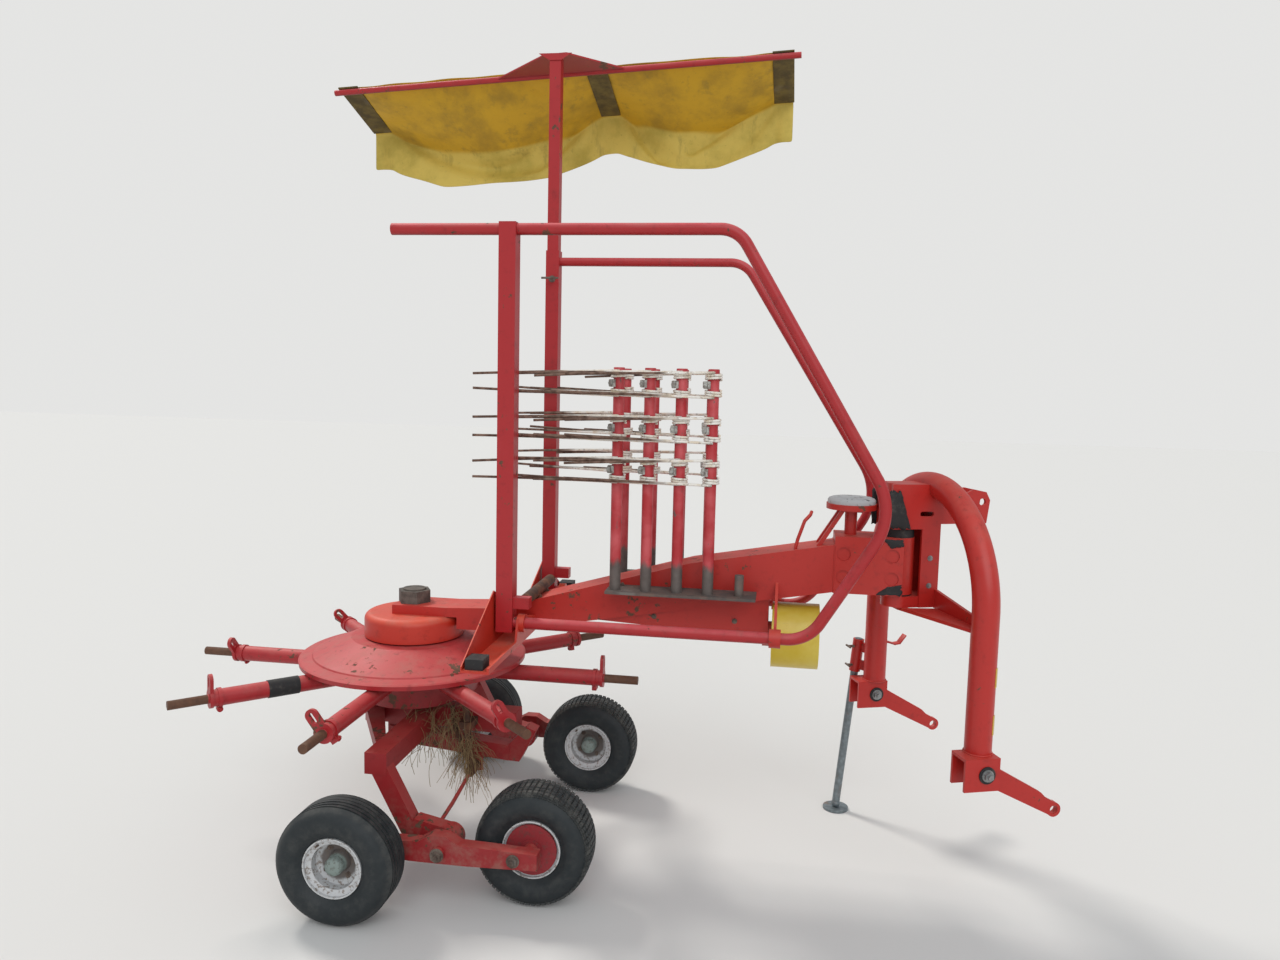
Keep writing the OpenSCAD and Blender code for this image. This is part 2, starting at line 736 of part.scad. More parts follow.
// Tyre on an axle along Y; the wheel's own middle is the origin
module tyre(x, y) {
    color(RUBBER) place() translate([x, y, wheel_r]) rotate([90, 0, 0]) rotate_extrude($fn = 96)
        difference() {
            polygon([
                [rim_d / 2, -tyre_w * 0.36], [rim_d / 2 + 14, -tyre_w * 0.42],
                [wheel_r - 60, -tyre_w / 2], [wheel_r - 30, -tyre_w / 2 + 2],
                [wheel_r - 8, -tyre_w / 2 + 16], [wheel_r, -tyre_w / 2 + 40],
                [wheel_r, tyre_w / 2 - 40], [wheel_r - 8, tyre_w / 2 - 16],
                [wheel_r - 30, tyre_w / 2 - 2], [wheel_r - 60, tyre_w / 2],
                [rim_d / 2 + 14, tyre_w * 0.42], [rim_d / 2, tyre_w * 0.36]]);
            translate([rim_d / 2 - 1, -tyre_w * 0.36 + 12]) square([wheel_r - rim_d / 2 - 16,
                tyre_w * 0.72 - 24]);
        }
}

// Rim with its hub; face is the side that the hub's cap points to
module rim(x, y, face, back_disc = false) {
    r = rim_d / 2 - fit;
    w = tyre_w * 0.36;
    bore = axle_d / 2 + fit;
    color("silver") place() translate([x, y, wheel_r]) rotate([face > 0 ? -90 : 90, 0, 0])
        rotate_extrude($fn = 96) {
            polygon([
                [bore, -w - 6], [38, -w - 6], [38, -4], [r - 30, 10], [r - 24, -w + 10],
                [r - 5, -w + 4], [r - 5, -w - 6], [r, -w - 6], [r, -w + 9], [r - 18, -w + 16],
                [r - 18, w - 16], [r, w - 9], [r, w + 6], [r - 5, w + 6], [r - 5, w - 4],
                [r - 24, w - 10], [r - 24, 16], [38, 2], [30, 30], [bore, 30]]);
            translate([0, 30]) square([26, 12]);
            if (back_disc) translate([bore, -w - 4]) square([88 - bore, 8]);
        }
}

// Loop tube of one guard: rear end, upper front corner, knee and lower front corner
module guard_loop(side, rear_x, top, post_front, tube_d) {
    pts = [[rear_x, top], [loop_top_corner_x, top], knee, [loop_low_corner_x, hinge_z],
        [post_front - 2, hinge_z]];
    bend = [0, 105, 216, 130];
    translate([0, side * hinge_y, 0]) rotate([90, 0, 0]) bent_tube(pts, bend, tube_d);
}

module guard_right() {
    w = right_post_w;
    front = right_post_x + w / 2;
    color(RED) place() {
        guard_loop(RIGHT, loop_rear_x, guard_top_z, front, guard_tube_d);
        translate([front - w, -hinge_y - w / 2, hinge_z - w / 2]) cube([w, w, guard_h + w / 2 + 22]);
        translate([front - 1, -hinge_y - 20, hinge_z + 55]) cube([59, 40, 40]);
    }
}

module guard_left() {
    w = left_post_w;
    front = left_post_x + w / 2;
    top = guard_top_z - 42;
    hole = inner_post_w + 2 * fit;
    collar_t = 14;
    color(RED) place() difference() {
        union() {
            guard_loop(LEFT, front - 2, top, front, left_tube_d);
            translate([front - w, hinge_y - w / 2, hinge_z - w / 2]) cube([w, w, guard_h + w / 2]);
            translate([front - 1, hinge_y - 20, hinge_z + 55]) cube([59, 40, 40]);
        }
        translate([front - w + post_wall, hinge_y - w / 2 + post_wall, hinge_z + 40])
            cube([w - 2 * post_wall, w - 2 * post_wall, guard_h - 40 - collar_t]);
        translate([left_post_x - hole / 2, hinge_y - hole / 2, guard_top_z - 60])
            cube([hole, hole, 100]);
    }
}

// Frame of the curtain's bar: its origin lies on the bar above the left post
bar_y = hinge_y + 170;
bar_slope = 3.1;
// The bar lies this far below the post's top
bar_below = 18;
bar_rear = -bar_len * 0.515;
bar_front = bar_len * 0.485;
module on_bar() {
    translate([left_post_x, bar_y, curtain_z - bar_below]) rotate([0, -bar_slope, 0]) children();
}

module bar_solid(d) {
    on_bar() translate([bar_rear, 0, 0]) rotate([0, 90, 0]) cylinder(d = d, h = bar_len);
}

// The post's top plate falls from the post to the bar and widens towards it
roof_t = 6;
roof_half = 45;
roof_rear = 304;
roof_front = 256;
cap_half = 66;
cap_h = 26;
cap_t = 5;
module curtain_post() {
    w = inner_post_w;
    near = hinge_y - w / 2;
    reach = bar_y - near;
    color(RED) place() {
        translate([left_post_x - w / 2, near, curtain_z - inner_post_len])
            cube([w, w, inner_post_len]);
        difference() {
            translate([left_post_x, near, curtain_z])
                rotate([-atan(bar_below / reach), -bar_slope, 0])
                    translate([0, 0, -roof_t / 2]) linear_extrude(roof_t) polygon([
                        [-roof_half, 0], [roof_half, 0], [roof_front, reach], [-roof_rear, reach]]);
            bar_solid(bar_d + 2 * fit);
        }
        // Bent front edge of the top plate
        translate([left_post_x, near, curtain_z + roof_t / 2 - 1]) rotate([90, 0, 0])
            translate([0, 0, -1]) linear_extrude(cap_t) polygon([
                [-w / 2, -cap_h], [w / 2, -cap_h], [cap_half, 0], [-cap_half, 0]]);
    }
}

module curtain_bar() {
    color(RED) place() bar_solid(bar_d);
}

// Flat arms on the bar that carry the curtain
stiffener_w = 86;
stiffener_t = 6;
module curtain_stiffeners() {
    color(RUBBER) place() on_bar() rotate([-curtain_fall, 0, 0])
        for (x = [bar_rear + 60, 120, bar_front - 70])
            translate([x - stiffener_w / 2, -bar_d / 2, bar_d / 2 + fit])
                cube([stiffener_w, curtain_reach + bar_d / 2, stiffener_t]);
}

// One bent sheet: it lies on the stiffeners, and its outer part hangs straight down
module curtain_sheet() {
    t = curtain_thick;
    low = bar_d / 2 + stiffener_t + 2 * fit;
    outward = [cos(curtain_fall), -sin(curtain_fall)];
    upward = [sin(curtain_fall), cos(curtain_fall)];
    fold = low * upward + (curtain_reach + 12) * outward;
    color("khaki") place() on_bar() translate([bar_rear + 20, 0, 0]) rotate([90, 0, 90])
        linear_extrude(bar_len - 50) polygon([
            low * upward, fold, fold - [0, curtain_hang], fold + [t, -curtain_hang],
            fold + t * (upward + outward), (low + t) * upward]);
}

// The headstock is drawn straight ahead and turned about the kingpin
module turned() {
    translate([kingpin_x, 0, 0]) rotate([0, 0, park_turn]) children();
}

module headstock_column() {
    half = column_half;
    plate = 12;
    rear = hoop_x - 63;
    front = hoop_x + 8;
    low = column_low_z;
    step_z = head_z + head_h + 33;
    ear_gap = 52;
    pin_x = hoop_x + 180;
    ear_low = min(top_link_z - 80, hoop_top_z - hoop_d / 2 - 60);
    color(RED) place() turned() {
        difference() {
            union() {
                for (y = [-half, half - plate]) side_plate(y, plate, [
                    [rear, low], [front, low], [front, column_top_z], [-62, column_top_z],
                    [-62, step_z + 10], [-52, step_z], [rear, step_z]]);
                translate([front - plate, -half, low]) cube([plate, 2 * half, column_top_z - low]);
                for (z = [low, column_high_z]) {
                    translate([0, 0, z]) cylinder(r = boss_r, h = lug_t);
                    translate([0, -boss_r, z]) cube([front - 1, 2 * boss_r, lug_t]);
                }
                translate([0, 0, low - 12]) linear_extrude(12) polygon([
                    [20, -half], [front, -half - 20], [hoop_x + 30, -hoop_r], [hoop_x - 30, -hoop_r],
                    [-10, -30], [-10, 30],
                    [hoop_x - 30, hoop_r], [hoop_x + 30, hoop_r], [front, half + 20], [20, half]]);
                for (side = [-1, 1]) mirror([0, side < 0 ? 1 : 0, 0])
                    translate([front - plate, 0, 0]) rotate([90, 0, 90]) linear_extrude(plate) polygon([
                        [half - 2, low - 2], [hoop_r, low - 2],
                        [hoop_r, low + 24], [half - 2, low + 66]]);
                for (y = [-ear_gap / 2 - plate, ear_gap / 2]) side_plate(y, plate, [
                    [front - plate, ear_low], [front + 34, ear_low],
                    [pin_x + 20, top_link_z - 78], [pin_x + 30, top_link_z + 6],
                    [pin_x + 14, top_link_z + 36], [pin_x - 36, top_link_z + 46],
                    [hoop_x + 52, top_link_z], [front - plate, top_link_z]]);
            }
            hoop_solid(hoop_d + 2 * fit);
            translate([pin_x, 0, top_link_z]) rotate([90, 0, 0])
                cylinder(d = top_link_bore, h = 200, center = true);
            translate([hoop_x - 48, 0, column_high_z - 66]) rotate([90, 0, 0]) {
                for (x = [-18, 18]) translate([x, 0, 0]) cylinder(d = 17, h = 200, center = true);
                cube([36, 17, 200], center = true);
            }
        }
        translate([0, 0, low + 1]) cylinder(d = kingpin_d, h = column_top_z - low - 2);
    }
}

module hoop_solid(d) {
    leg_top = hoop_top_z - hoop_r;
    foot_z = link_z + clevis_h / 2;
    translate([hoop_x, 0, 0]) rotate([90, 0, 90]) {
        translate([0, leg_top, 0]) rotate_extrude(angle = 180) translate([hoop_r, 0]) circle(d = d);
        for (x = [-hoop_r, hoop_r])
            translate([x, foot_z, 0]) rotate([-90, 0, 0]) cylinder(d = d, h = leg_top - foot_z);
    }
}

module headstock_hoop() {
    color(RED) place() turned() hoop_solid(hoop_d);
}

module link_clevises() {
    half = clevis_gap / 2;
    color(RED) place() turned() for (side = [RIGHT, LEFT]) {
        translate([hoop_x, side * link_spread / 2, link_z]) {
            for (y = [-half - clevis_wall, half])
                translate([-clevis_back, y, -clevis_h / 2])
                    cube([clevis_len, clevis_wall, clevis_h]);
            translate([-clevis_back, -half - 1, clevis_h / 2 - clevis_wall])
                cube([clevis_len, clevis_gap + 2, clevis_wall]);
            rotate([90, 0, 0]) cylinder(d = link_pin_d, h = clevis_gap + 2 * clevis_wall + 24,
                center = true);
        }
    }
}

// Tongue on each lower pin: hangs forward, with a bore near its end for the tractor's link
module link_tongues() {
    t = tongue_t;
    h = tongue_h;
    tip_h = tongue_tip_h;
    color(RED) place() turned() for (side = [RIGHT, LEFT])
        translate([hoop_x, side * link_spread / 2, link_z])
            rotate([90, tongue_tilt, 0]) translate([0, 0, -t / 2]) difference() {
                union() {
                    cylinder(d = h, h = t);
                    linear_extrude(t) polygon([[0, 2 - h / 2], [tongue_hole, 2 - tip_h / 2],
                        [tongue_hole, tip_h / 2 - 2], [tongue_hole - 50, tip_h / 2 - 2],
                        [tongue_hole - 76, h / 2 - 6], [0, h / 2 - 2]]);
                    translate([tongue_hole, 0, 0]) cylinder(d = tip_h, h = t);
                }
                translate([0, 0, -1]) cylinder(d = link_pin_d + 2 * fit, h = t + 2);
                translate([tongue_hole, 0, -1]) cylinder(d = tongue_bore, h = t + 2);
            }
}

// Long sleeve beside the left leg that the stand's tube slides in
module stand_guide() {
    low = link_z + clevis_h / 2 + 14;
    high = low + stand_sleeve;
    color(RED) place() turned() difference() {
        union() {
            rod(on_stand(high), on_stand(low), stand_d + 14);
            for (z = [low + 30, high - 30]) {
                at = on_stand(z);
                translate([at[0], at[1], z - 20])
                    rotate([0, 0, atan2(hoop_r - at[1], hoop_x - at[0])]) translate([0, -5, 0])
                        cube([norm([hoop_x - at[0], hoop_r - at[1]]), 10, 40]);
            }
        }
        rod(on_stand(high + 20), on_stand(low - 20), stand_d + 2 * fit);
        hoop_solid(hoop_d + 2 * fit);
    }
}

module stand_leg() {
    top = stand_foot - stand_axis * stand_len;
    ankle = stand_foot - stand_axis * (foot_t + 14);
    color(STEEL) place() turned() {
        rod(ankle, top, stand_d);
        translate(ankle) sphere(d = stand_d + 4);
        translate([ankle[0], ankle[1], 0]) cylinder(d = foot_d, h = foot_t);
    }
}

main_beam();
beam_head();
gear_drum();
drum_cap();
drive_panel();
pto_shaft();
pto_cup();
rest_disc();
rest_plate();
rack_right();
rack_left();
for (i = [0 : rack_count - 1]) {
    stored_arm(i, RIGHT);
    stored_arm(i, LEFT);
}
cross_pipe();
guard_bracket_right();
wing_pad_right();
guard_bracket_left();
wing_pad_left();
rotor_column();
chassis_frame();
leg_right();
leg_left();
height_spindle();
rocker_right();
rocker_left();
rotor_pan();
rotor_arms();
tyre(rear_wheel_x, -rear_wheel_y);  // tyre_rear_right
rim(rear_wheel_x, -rear_wheel_y, RIGHT);  // rim_rear_right
tyre(front_wheel_x, -front_wheel_y);  // tyre_front_right
rim(front_wheel_x, -front_wheel_y, LEFT, true);  // rim_front_right
tyre(rear_wheel_x, rear_wheel_y);  // tyre_rear_left
rim(rear_wheel_x, rear_wheel_y, LEFT);  // rim_rear_left
tyre(front_wheel_x, front_wheel_y);  // tyre_front_left
rim(front_wheel_x, front_wheel_y, RIGHT, true);  // rim_front_left
guard_right();
guard_left();
curtain_post();
curtain_bar();
curtain_stiffeners();
curtain_sheet();
headstock_column();
headstock_hoop();
link_clevises();
link_tongues();
stand_guide();
stand_leg();
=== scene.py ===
# %% [markdown]
# A farm rake with one rotor, folded up for the road. The frame, the wheels and every joint come
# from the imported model. This script gives them their faded red paint, rust, rubber and canvas,
# and builds the pieces that need more shape than the solids have: treaded tyres, wound spring
# tines, the sagging curtain, bolts and the hay that has wound itself round the column.

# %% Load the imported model
import bpy
import bmesh
import math
import random
from mathutils import Matrix, Vector, noise


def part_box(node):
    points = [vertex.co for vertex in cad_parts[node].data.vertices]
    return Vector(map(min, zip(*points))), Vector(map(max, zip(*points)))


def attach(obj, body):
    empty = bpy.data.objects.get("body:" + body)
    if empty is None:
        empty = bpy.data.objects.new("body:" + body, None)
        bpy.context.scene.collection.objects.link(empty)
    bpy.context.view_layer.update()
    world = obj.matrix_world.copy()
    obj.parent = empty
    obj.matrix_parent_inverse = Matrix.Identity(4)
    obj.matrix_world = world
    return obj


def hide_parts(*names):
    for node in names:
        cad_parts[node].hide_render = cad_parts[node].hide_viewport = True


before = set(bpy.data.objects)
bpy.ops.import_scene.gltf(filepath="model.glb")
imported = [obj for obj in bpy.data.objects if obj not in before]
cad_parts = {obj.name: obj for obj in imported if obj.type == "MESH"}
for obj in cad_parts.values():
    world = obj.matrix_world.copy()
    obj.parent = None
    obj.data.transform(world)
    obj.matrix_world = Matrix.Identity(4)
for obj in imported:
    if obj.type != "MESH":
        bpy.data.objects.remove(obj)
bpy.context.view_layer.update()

# %% [markdown]
# All places in this script are in metres, measured from the rotor's axis, because the machine is
# laid out round it. The model's own origin is in the middle of its box, so one function shifts
# along X. The headstock is parked with a turn to the left, so a second function takes distances
# ahead of the kingpin and to its left, and turns them.

# %% Two sets of coordinates
column_low, column_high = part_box("rotor_column")
MID_X = -(column_low.x + column_high.x) / 2
KINGPIN_X = 1.840
HOOP_X = 0.122
LINK_Z = 0.535
PARK_TURN = math.radians(20.3)


def at(x, y, z):
    return Vector((x - MID_X, y, z))


def on_headstock(ahead, left, z):
    turned = Matrix.Rotation(PARK_TURN, 3, "Z") @ Vector((ahead, left, 0))
    return at(KINGPIN_X + turned.x, turned.y, z)


# %% [markdown]
# The camera stands where the photographer stood. Its place, its turn and its focal length were
# solved from known points of the machine, such as the corners of the guards and the wheels.
# Camera axes are built as a matrix: the columns are right, up and backwards.

# %% Camera
CAMERA_PLACE = (1.423, -3.545, 1.79)
FOCAL_MM = 27.03
yaw, pitch, roll = (math.radians(v) for v in (-8.60, 5.91, 1.34))
ahead = Vector((math.sin(yaw), math.cos(yaw), 0))
right = Vector((math.cos(yaw), -math.sin(yaw), 0))
up = Vector((0, 0, 1))
look = math.cos(pitch) * ahead - math.sin(pitch) * up
tall = math.sin(pitch) * ahead + math.cos(pitch) * up
side = math.cos(roll) * right + math.sin(roll) * tall
tall = math.cos(roll) * tall - math.sin(roll) * right

camera_data = bpy.data.cameras.new("photo_camera")
camera_data.sensor_width = 36
camera_data.lens = FOCAL_MM
camera = bpy.data.objects.new("photo_camera", camera_data)
bpy.context.scene.collection.objects.link(camera)
camera.matrix_world = Matrix.Translation(at(*CAMERA_PLACE)) @ Matrix(
    (side, tall, -look)).transposed().to_4x4()
bpy.context.scene.camera = camera
bpy.context.scene.view_settings.view_transform = "Standard"

# %% [markdown]
# The light is a plain studio: an even white world and two very soft suns, one from behind on the
# left, where the sun stood in the photograph, and one from the camera's side. Suns light the whole
# floor evenly, so that it meets the backdrop in the same pale grey.

# %% Studio
world = bpy.data.worlds.new("studio")
bpy.context.scene.world = world
world.use_nodes = True
sky = world.node_tree
sky.nodes.clear()
world_out = sky.nodes.new("ShaderNodeOutputWorld")
light_path = sky.nodes.new("ShaderNodeLightPath")
even_light = sky.nodes.new("ShaderNodeBackground")
even_light.inputs["Color"].default_value = (0.96, 0.98, 1.0, 1)
even_light.inputs["Strength"].default_value = 0.55
backdrop = sky.nodes.new("ShaderNodeBackground")
backdrop.inputs["Color"].default_value = (0.78, 0.78, 0.77, 1)
sky_mix = sky.nodes.new("ShaderNodeMixShader")
sky.links.new(light_path.outputs["Is Camera Ray"], sky_mix.inputs["Fac"])
sky.links.new(even_light.outputs[0], sky_mix.inputs[1])
sky.links.new(backdrop.outputs[0], sky_mix.inputs[2])
sky.links.new(sky_mix.outputs[0], world_out.inputs["Surface"])


def soft_sun(name, comes_from, strength, spread, colour):
    data = bpy.data.lights.new(name, "SUN")
    data.energy = strength
    data.angle = math.radians(spread)
    data.color = colour
    made = bpy.data.objects.new(name, data)
    bpy.context.scene.collection.objects.link(made)
    made.rotation_euler = Vector(comes_from).to_track_quat("Z", "Y").to_euler()


soft_sun("sun_side", (-0.75, 0.55, 1.1), 1.7, 12, (1.0, 0.96, 0.90))
soft_sun("camera_side", (0.35, -1.0, 0.8), 1.15, 50, (0.96, 0.98, 1.0))

# %% [markdown]
# Materials are written as arithmetic. A small class wraps a node's output, so that adding or
# multiplying two masks adds the Math node by itself. Colours are mixed with a Mix node, since a
# Math node would turn them grey.

# %% A socket that can be added and multiplied
class Mask:
    def __init__(self, paint, socket):
        self.paint = paint
        self.socket = socket

    def _math(self, operation, first, second):
        return self.paint.node("ShaderNodeMath", {"operation": operation}, {0: first, 1: second})

    def __add__(self, other):
        return self._math("ADD", self, other)

    def __radd__(self, other):
        return self._math("ADD", other, self)

    def __sub__(self, other):
        return self._math("SUBTRACT", self, other)

    def __rsub__(self, other):
        return self._math("SUBTRACT", other, self)

    def __mul__(self, other):
        return self._math("MULTIPLY", self, other)

    def __rmul__(self, other):
        return self._math("MULTIPLY", other, self)

    def __truediv__(self, other):
        return self._math("DIVIDE", self, other)

    def abs(self):
        return self._math("ABSOLUTE", self, 0.0)

    def wave(self):
        return self._math("SINE", self, 0.0)

    def most(self, other):
        return self._math("MAXIMUM", self, other)

    def ease(self, low, high):
        """0 below low, 1 above high, and smooth between them."""
        return self.paint.node("ShaderNodeMapRange", {"interpolation_type": "SMOOTHSTEP"},
            {"Value": self, "From Min": low, "From Max": high})


# %% A material being built
class Paint:
    def __init__(self, name):
        self.material = bpy.data.materials.new(name)
        self.material.use_nodes = True
        self.tree = self.material.node_tree
        self.shader = self.tree.nodes["Principled BSDF"]
        self.places = self.node("ShaderNodeTexCoord", {}, {}, "Object")
        self.facing = self.node("ShaderNodeTexCoord", {}, {}, "Normal")

    def node(self, kind, settings, values, output=0):
        made = self.tree.nodes.new(kind)
        for key, value in settings.items():
            setattr(made, key, value)
        for key, value in values.items():
            if isinstance(value, Mask):
                self.tree.links.new(value.socket, made.inputs[key])
            else:
                made.inputs[key].default_value = value
        return Mask(self, made.outputs[output])

    def axis(self, vector, letter):
        return self.node("ShaderNodeSeparateXYZ", {}, {0: vector}, letter)

    def from_axis(self, centre, across):
        """Distance from a line through centre; across is 1 for the directions that count."""
        moved = self.node("ShaderNodeMapping", {}, {"Vector": self.places, "Location": -centre})
        flat = self.node("ShaderNodeVectorMath", {"operation": "MULTIPLY"}, {0: moved, 1: across})
        return self.node("ShaderNodeVectorMath", {"operation": "LENGTH"}, {0: flat}, "Value")

    def noise(self, scale, detail=3.0, rough=0.5, stretch=(1, 1, 1)):
        spots = self.places
        if stretch != (1, 1, 1):
            spots = self.node("ShaderNodeMapping", {}, {"Vector": spots, "Scale": stretch})
        return self.node("ShaderNodeTexNoise", {},
            {"Vector": spots, "Scale": scale, "Detail": detail, "Roughness": rough})

    def cells(self, scale):
        return self.node("ShaderNodeTexVoronoi", {}, {"Vector": self.places, "Scale": scale})

    def blend(self, mask, below, above):
        below = below if isinstance(below, Mask) else (*below, 1)
        above = above if isinstance(above, Mask) else (*above, 1)
        return self.node("ShaderNodeMix", {"data_type": "RGBA"}, {0: mask, 6: below, 7: above}, 2)

    def bump(self, height, strength=0.3, distance=0.002):
        return self.node("ShaderNodeBump", {},
            {"Height": height, "Strength": strength, "Distance": distance})

    def set(self, **sockets):
        for key, value in sockets.items():
            socket = self.shader.inputs[key.replace("_", " ")]
            if isinstance(value, Mask):
                self.tree.links.new(value.socket, socket)
            elif isinstance(value, tuple):
                socket.default_value = (*value, 1)
            else:
                socket.default_value = value
        return self.material


# %% [markdown]
# Old farm paint is never one red. It bleaches to pink where the sky sees it, keeps its depth on the
# undersides, chips to dark rust in small spots and long scrapes, and gathers dust on whatever
# lies flat. What faces the ground is painted darkest, as painted shade. Each of these is one mask
# here, and every red on the machine is the same recipe with other numbers.

# %% Weathered paint and painted shade
RUST_DARK = (0.055, 0.026, 0.017)
RUST_LIGHT = (0.17, 0.072, 0.035)
DUST = (0.30, 0.25, 0.19)
MUD_ENDS = (0.12, 0.5)
STUB_PAINT_ENDS = 0.765


def weathered_paint_and_shade(name, deep, bleached, chips=0.64, dust=0.25, gloss=0.42, mud=0.0,
        bare_from=None):
    p = Paint(name)
    sky_side = p.axis(p.facing, "Z").ease(-0.1, 0.95)
    cloudy = p.noise(3.1, 4, 0.6)
    streaks = p.noise(9.0, 3, 0.6, (1, 1, 0.25))
    fade = (sky_side * 0.75 + (cloudy - 0.5) * 0.9 + (streaks - 0.5) * 0.5).ease(0.05, 0.95)
    colour = p.blend(fade, deep, bleached)
    # Painted shade: faces that turn to the ground are darkened, standing in for the shade beneath
    # them.
    painted_underside_shade = 1 - p.axis(p.facing, "Z").ease(-0.98, -0.75)
    colour = p.blend(painted_underside_shade * 0.55, colour, tuple(v * 0.35 for v in deep))
    grime = p.noise(26, 5, 0.7).ease(0.52, 0.80) * 0.55
    colour = p.blend(grime, colour, tuple(v * 0.42 for v in deep))
    chipped = (p.noise(34, 6, 0.62) * 0.62 + p.noise(6.0, 2, 0.5) * 0.38).ease(chips - 0.03, chips)
    rust = p.blend(p.noise(70, 3, 0.6), RUST_DARK, RUST_LIGHT)
    if bare_from:
        chipped = chipped.most((p.from_axis(at(0, 0, 0), (1, 1, 0)) + (cloudy - 0.5) * 0.01)
            .ease(bare_from, bare_from + 0.006))
    colour = p.blend(chipped, colour, rust)
    dusty = (sky_side * p.noise(14, 4, 0.65).ease(0.42, 0.75)) * dust
    if mud:
        low = 1 - p.axis(p.places, "Z").ease(*MUD_ENDS)
        dusty = dusty.most(low * p.noise(19, 5, 0.7).ease(0.40, 0.68) * mud)
    colour = p.blend(dusty, colour, DUST)
    rough = gloss + fade * 0.16 + chipped * 0.25 + dusty * 0.3
    relief = p.noise(90, 3, 0.6) * 0.25 - chipped * 0.8
    return p.set(Base_Color=colour, Roughness=rough, Normal=p.bump(relief, 0.22, 0.0012))


RED = (0.40, 0.014, 0.018)
PINK = (0.62, 0.090, 0.105)
frame_paint = weathered_paint_and_shade("frame_paint", RED, PINK)
beam_paint = weathered_paint_and_shade("beam_paint", (0.46, 0.020, 0.013), (0.60, 0.065, 0.045))
housing_paint = weathered_paint_and_shade("housing_paint", (0.50, 0.028, 0.013), (0.66, 0.085, 0.045), 0.66)
rotor_paint = weathered_paint_and_shade("rotor_paint", (0.37, 0.015, 0.020), (0.51, 0.058, 0.060), 0.62,
    0.25, bare_from=STUB_PAINT_ENDS)
chassis_paint = weathered_paint_and_shade("chassis_paint", (0.29, 0.011, 0.014), (0.43, 0.042, 0.038),
    0.62, 0.2, 0.48, 0.3)
headstock_paint = weathered_paint_and_shade("headstock_paint", (0.47, 0.019, 0.014), (0.58, 0.052, 0.038),
    0.655, 0.15, 0.36)

# %% [markdown]
# Bare steel shows three states: brown rust on what was never painted, dull grey where hands and
# tubes have rubbed it, and the spangled grey of zinc on the stand and the link bolts. Rust is
# rough and has no metal shine at all, so Metallic follows the mask as well.

# %% Rust, worn steel and zinc
def rusty_steel(name, shine=0.25, dark=RUST_DARK, light=RUST_LIGHT):
    p = Paint(name)
    patches = p.noise(18, 5, 0.65)
    colour = p.blend(patches.ease(0.35, 0.70), dark, light)
    worn = p.noise(7, 3, 0.5).ease(0.56, 0.68) * shine
    colour = p.blend(worn, colour, (0.24, 0.22, 0.20))
    return p.set(Base_Color=colour, Roughness=0.82 - worn * 0.35, Metallic=worn * 0.8,
        Normal=p.bump(p.noise(120, 4, 0.7), 0.35, 0.001))


def zinc(name, colour=(0.36, 0.37, 0.37)):
    p = Paint(name)
    spangle = p.cells(60)
    tone = p.blend(spangle.ease(0.1, 0.9), colour, tuple(v * 0.72 for v in colour))
    bloom = p.noise(13, 5, 0.7).ease(0.55, 0.72)
    tone = p.blend(bloom * 0.7, tone, (0.20, 0.13, 0.09))
    return p.set(Base_Color=tone, Metallic=0.75 - bloom * 0.6, Roughness=0.46 + bloom * 0.3,
        Normal=p.bump(p.noise(80, 3), 0.12, 0.001))


rust = rusty_steel("rust")
rack_steel = rusty_steel("rack_steel", 0.7, (0.085, 0.075, 0.07), (0.16, 0.11, 0.09))
worn_steel = rusty_steel("worn_steel", 1.0, (0.10, 0.075, 0.06), (0.16, 0.12, 0.09))
stiffener_steel = rusty_steel("stiffener_steel", 0.2, (0.070, 0.048, 0.012), (0.155, 0.110, 0.024))
cap_steel = rusty_steel("cap_steel", 0.5, (0.055, 0.048, 0.042), (0.15, 0.125, 0.105))
stand_zinc = zinc("stand_zinc", (0.25, 0.29, 0.31))
bolt_steel = rusty_steel("bolt_steel", 0.8, (0.07, 0.045, 0.035), (0.20, 0.16, 0.13))

# %% [markdown]
# A tyre is almost black where it is clean. Dried grey dust stays in the grooves of the tread and
# in a broad ring on its sidewall. Distance from the axle tells tread from sidewall, and the
# recipe reads it from the wheel's own centre.

# %% Tyre rubber
def tyre_rubber(name, centre, tread_dust):
    p = Paint(name)
    radius = p.from_axis(centre, (1, 0, 1))
    tread = radius.ease(0.180, 0.196)
    groove = radius.ease(0.186, 0.192) * (1 - radius.ease(0.199, 0.202))
    dust = p.noise(24, 5, 0.7).ease(0.38, 0.72)
    band = radius.ease(0.11, 0.13) * (1 - radius.ease(0.150, 0.17))
    amount = dust * (0.06 + band * 0.08 + tread * tread_dust) + groove * tread_dust * 0.4
    colour = p.blend(amount, (0.009, 0.014, 0.017), (0.17, 0.165, 0.15))
    return p.set(Base_Color=colour, Roughness=0.62 + amount * 0.3,
        Normal=p.bump(p.noise(160, 4, 0.6), 0.18, 0.0008))


# %% [markdown]
# The rims are painted a cool white with few flecks of rust, and their hub caps are a dull grey
# green.
# Round each cap a dark ring is painted, partly a rust stain and partly painted shade in the rim's
# well. The front pair also carries a dark red disc on the side of the rocker arm.

# %% Rim paint
CAP_R = 0.0305
RED_DISC_ENDS = (0.0885, 0.0895)


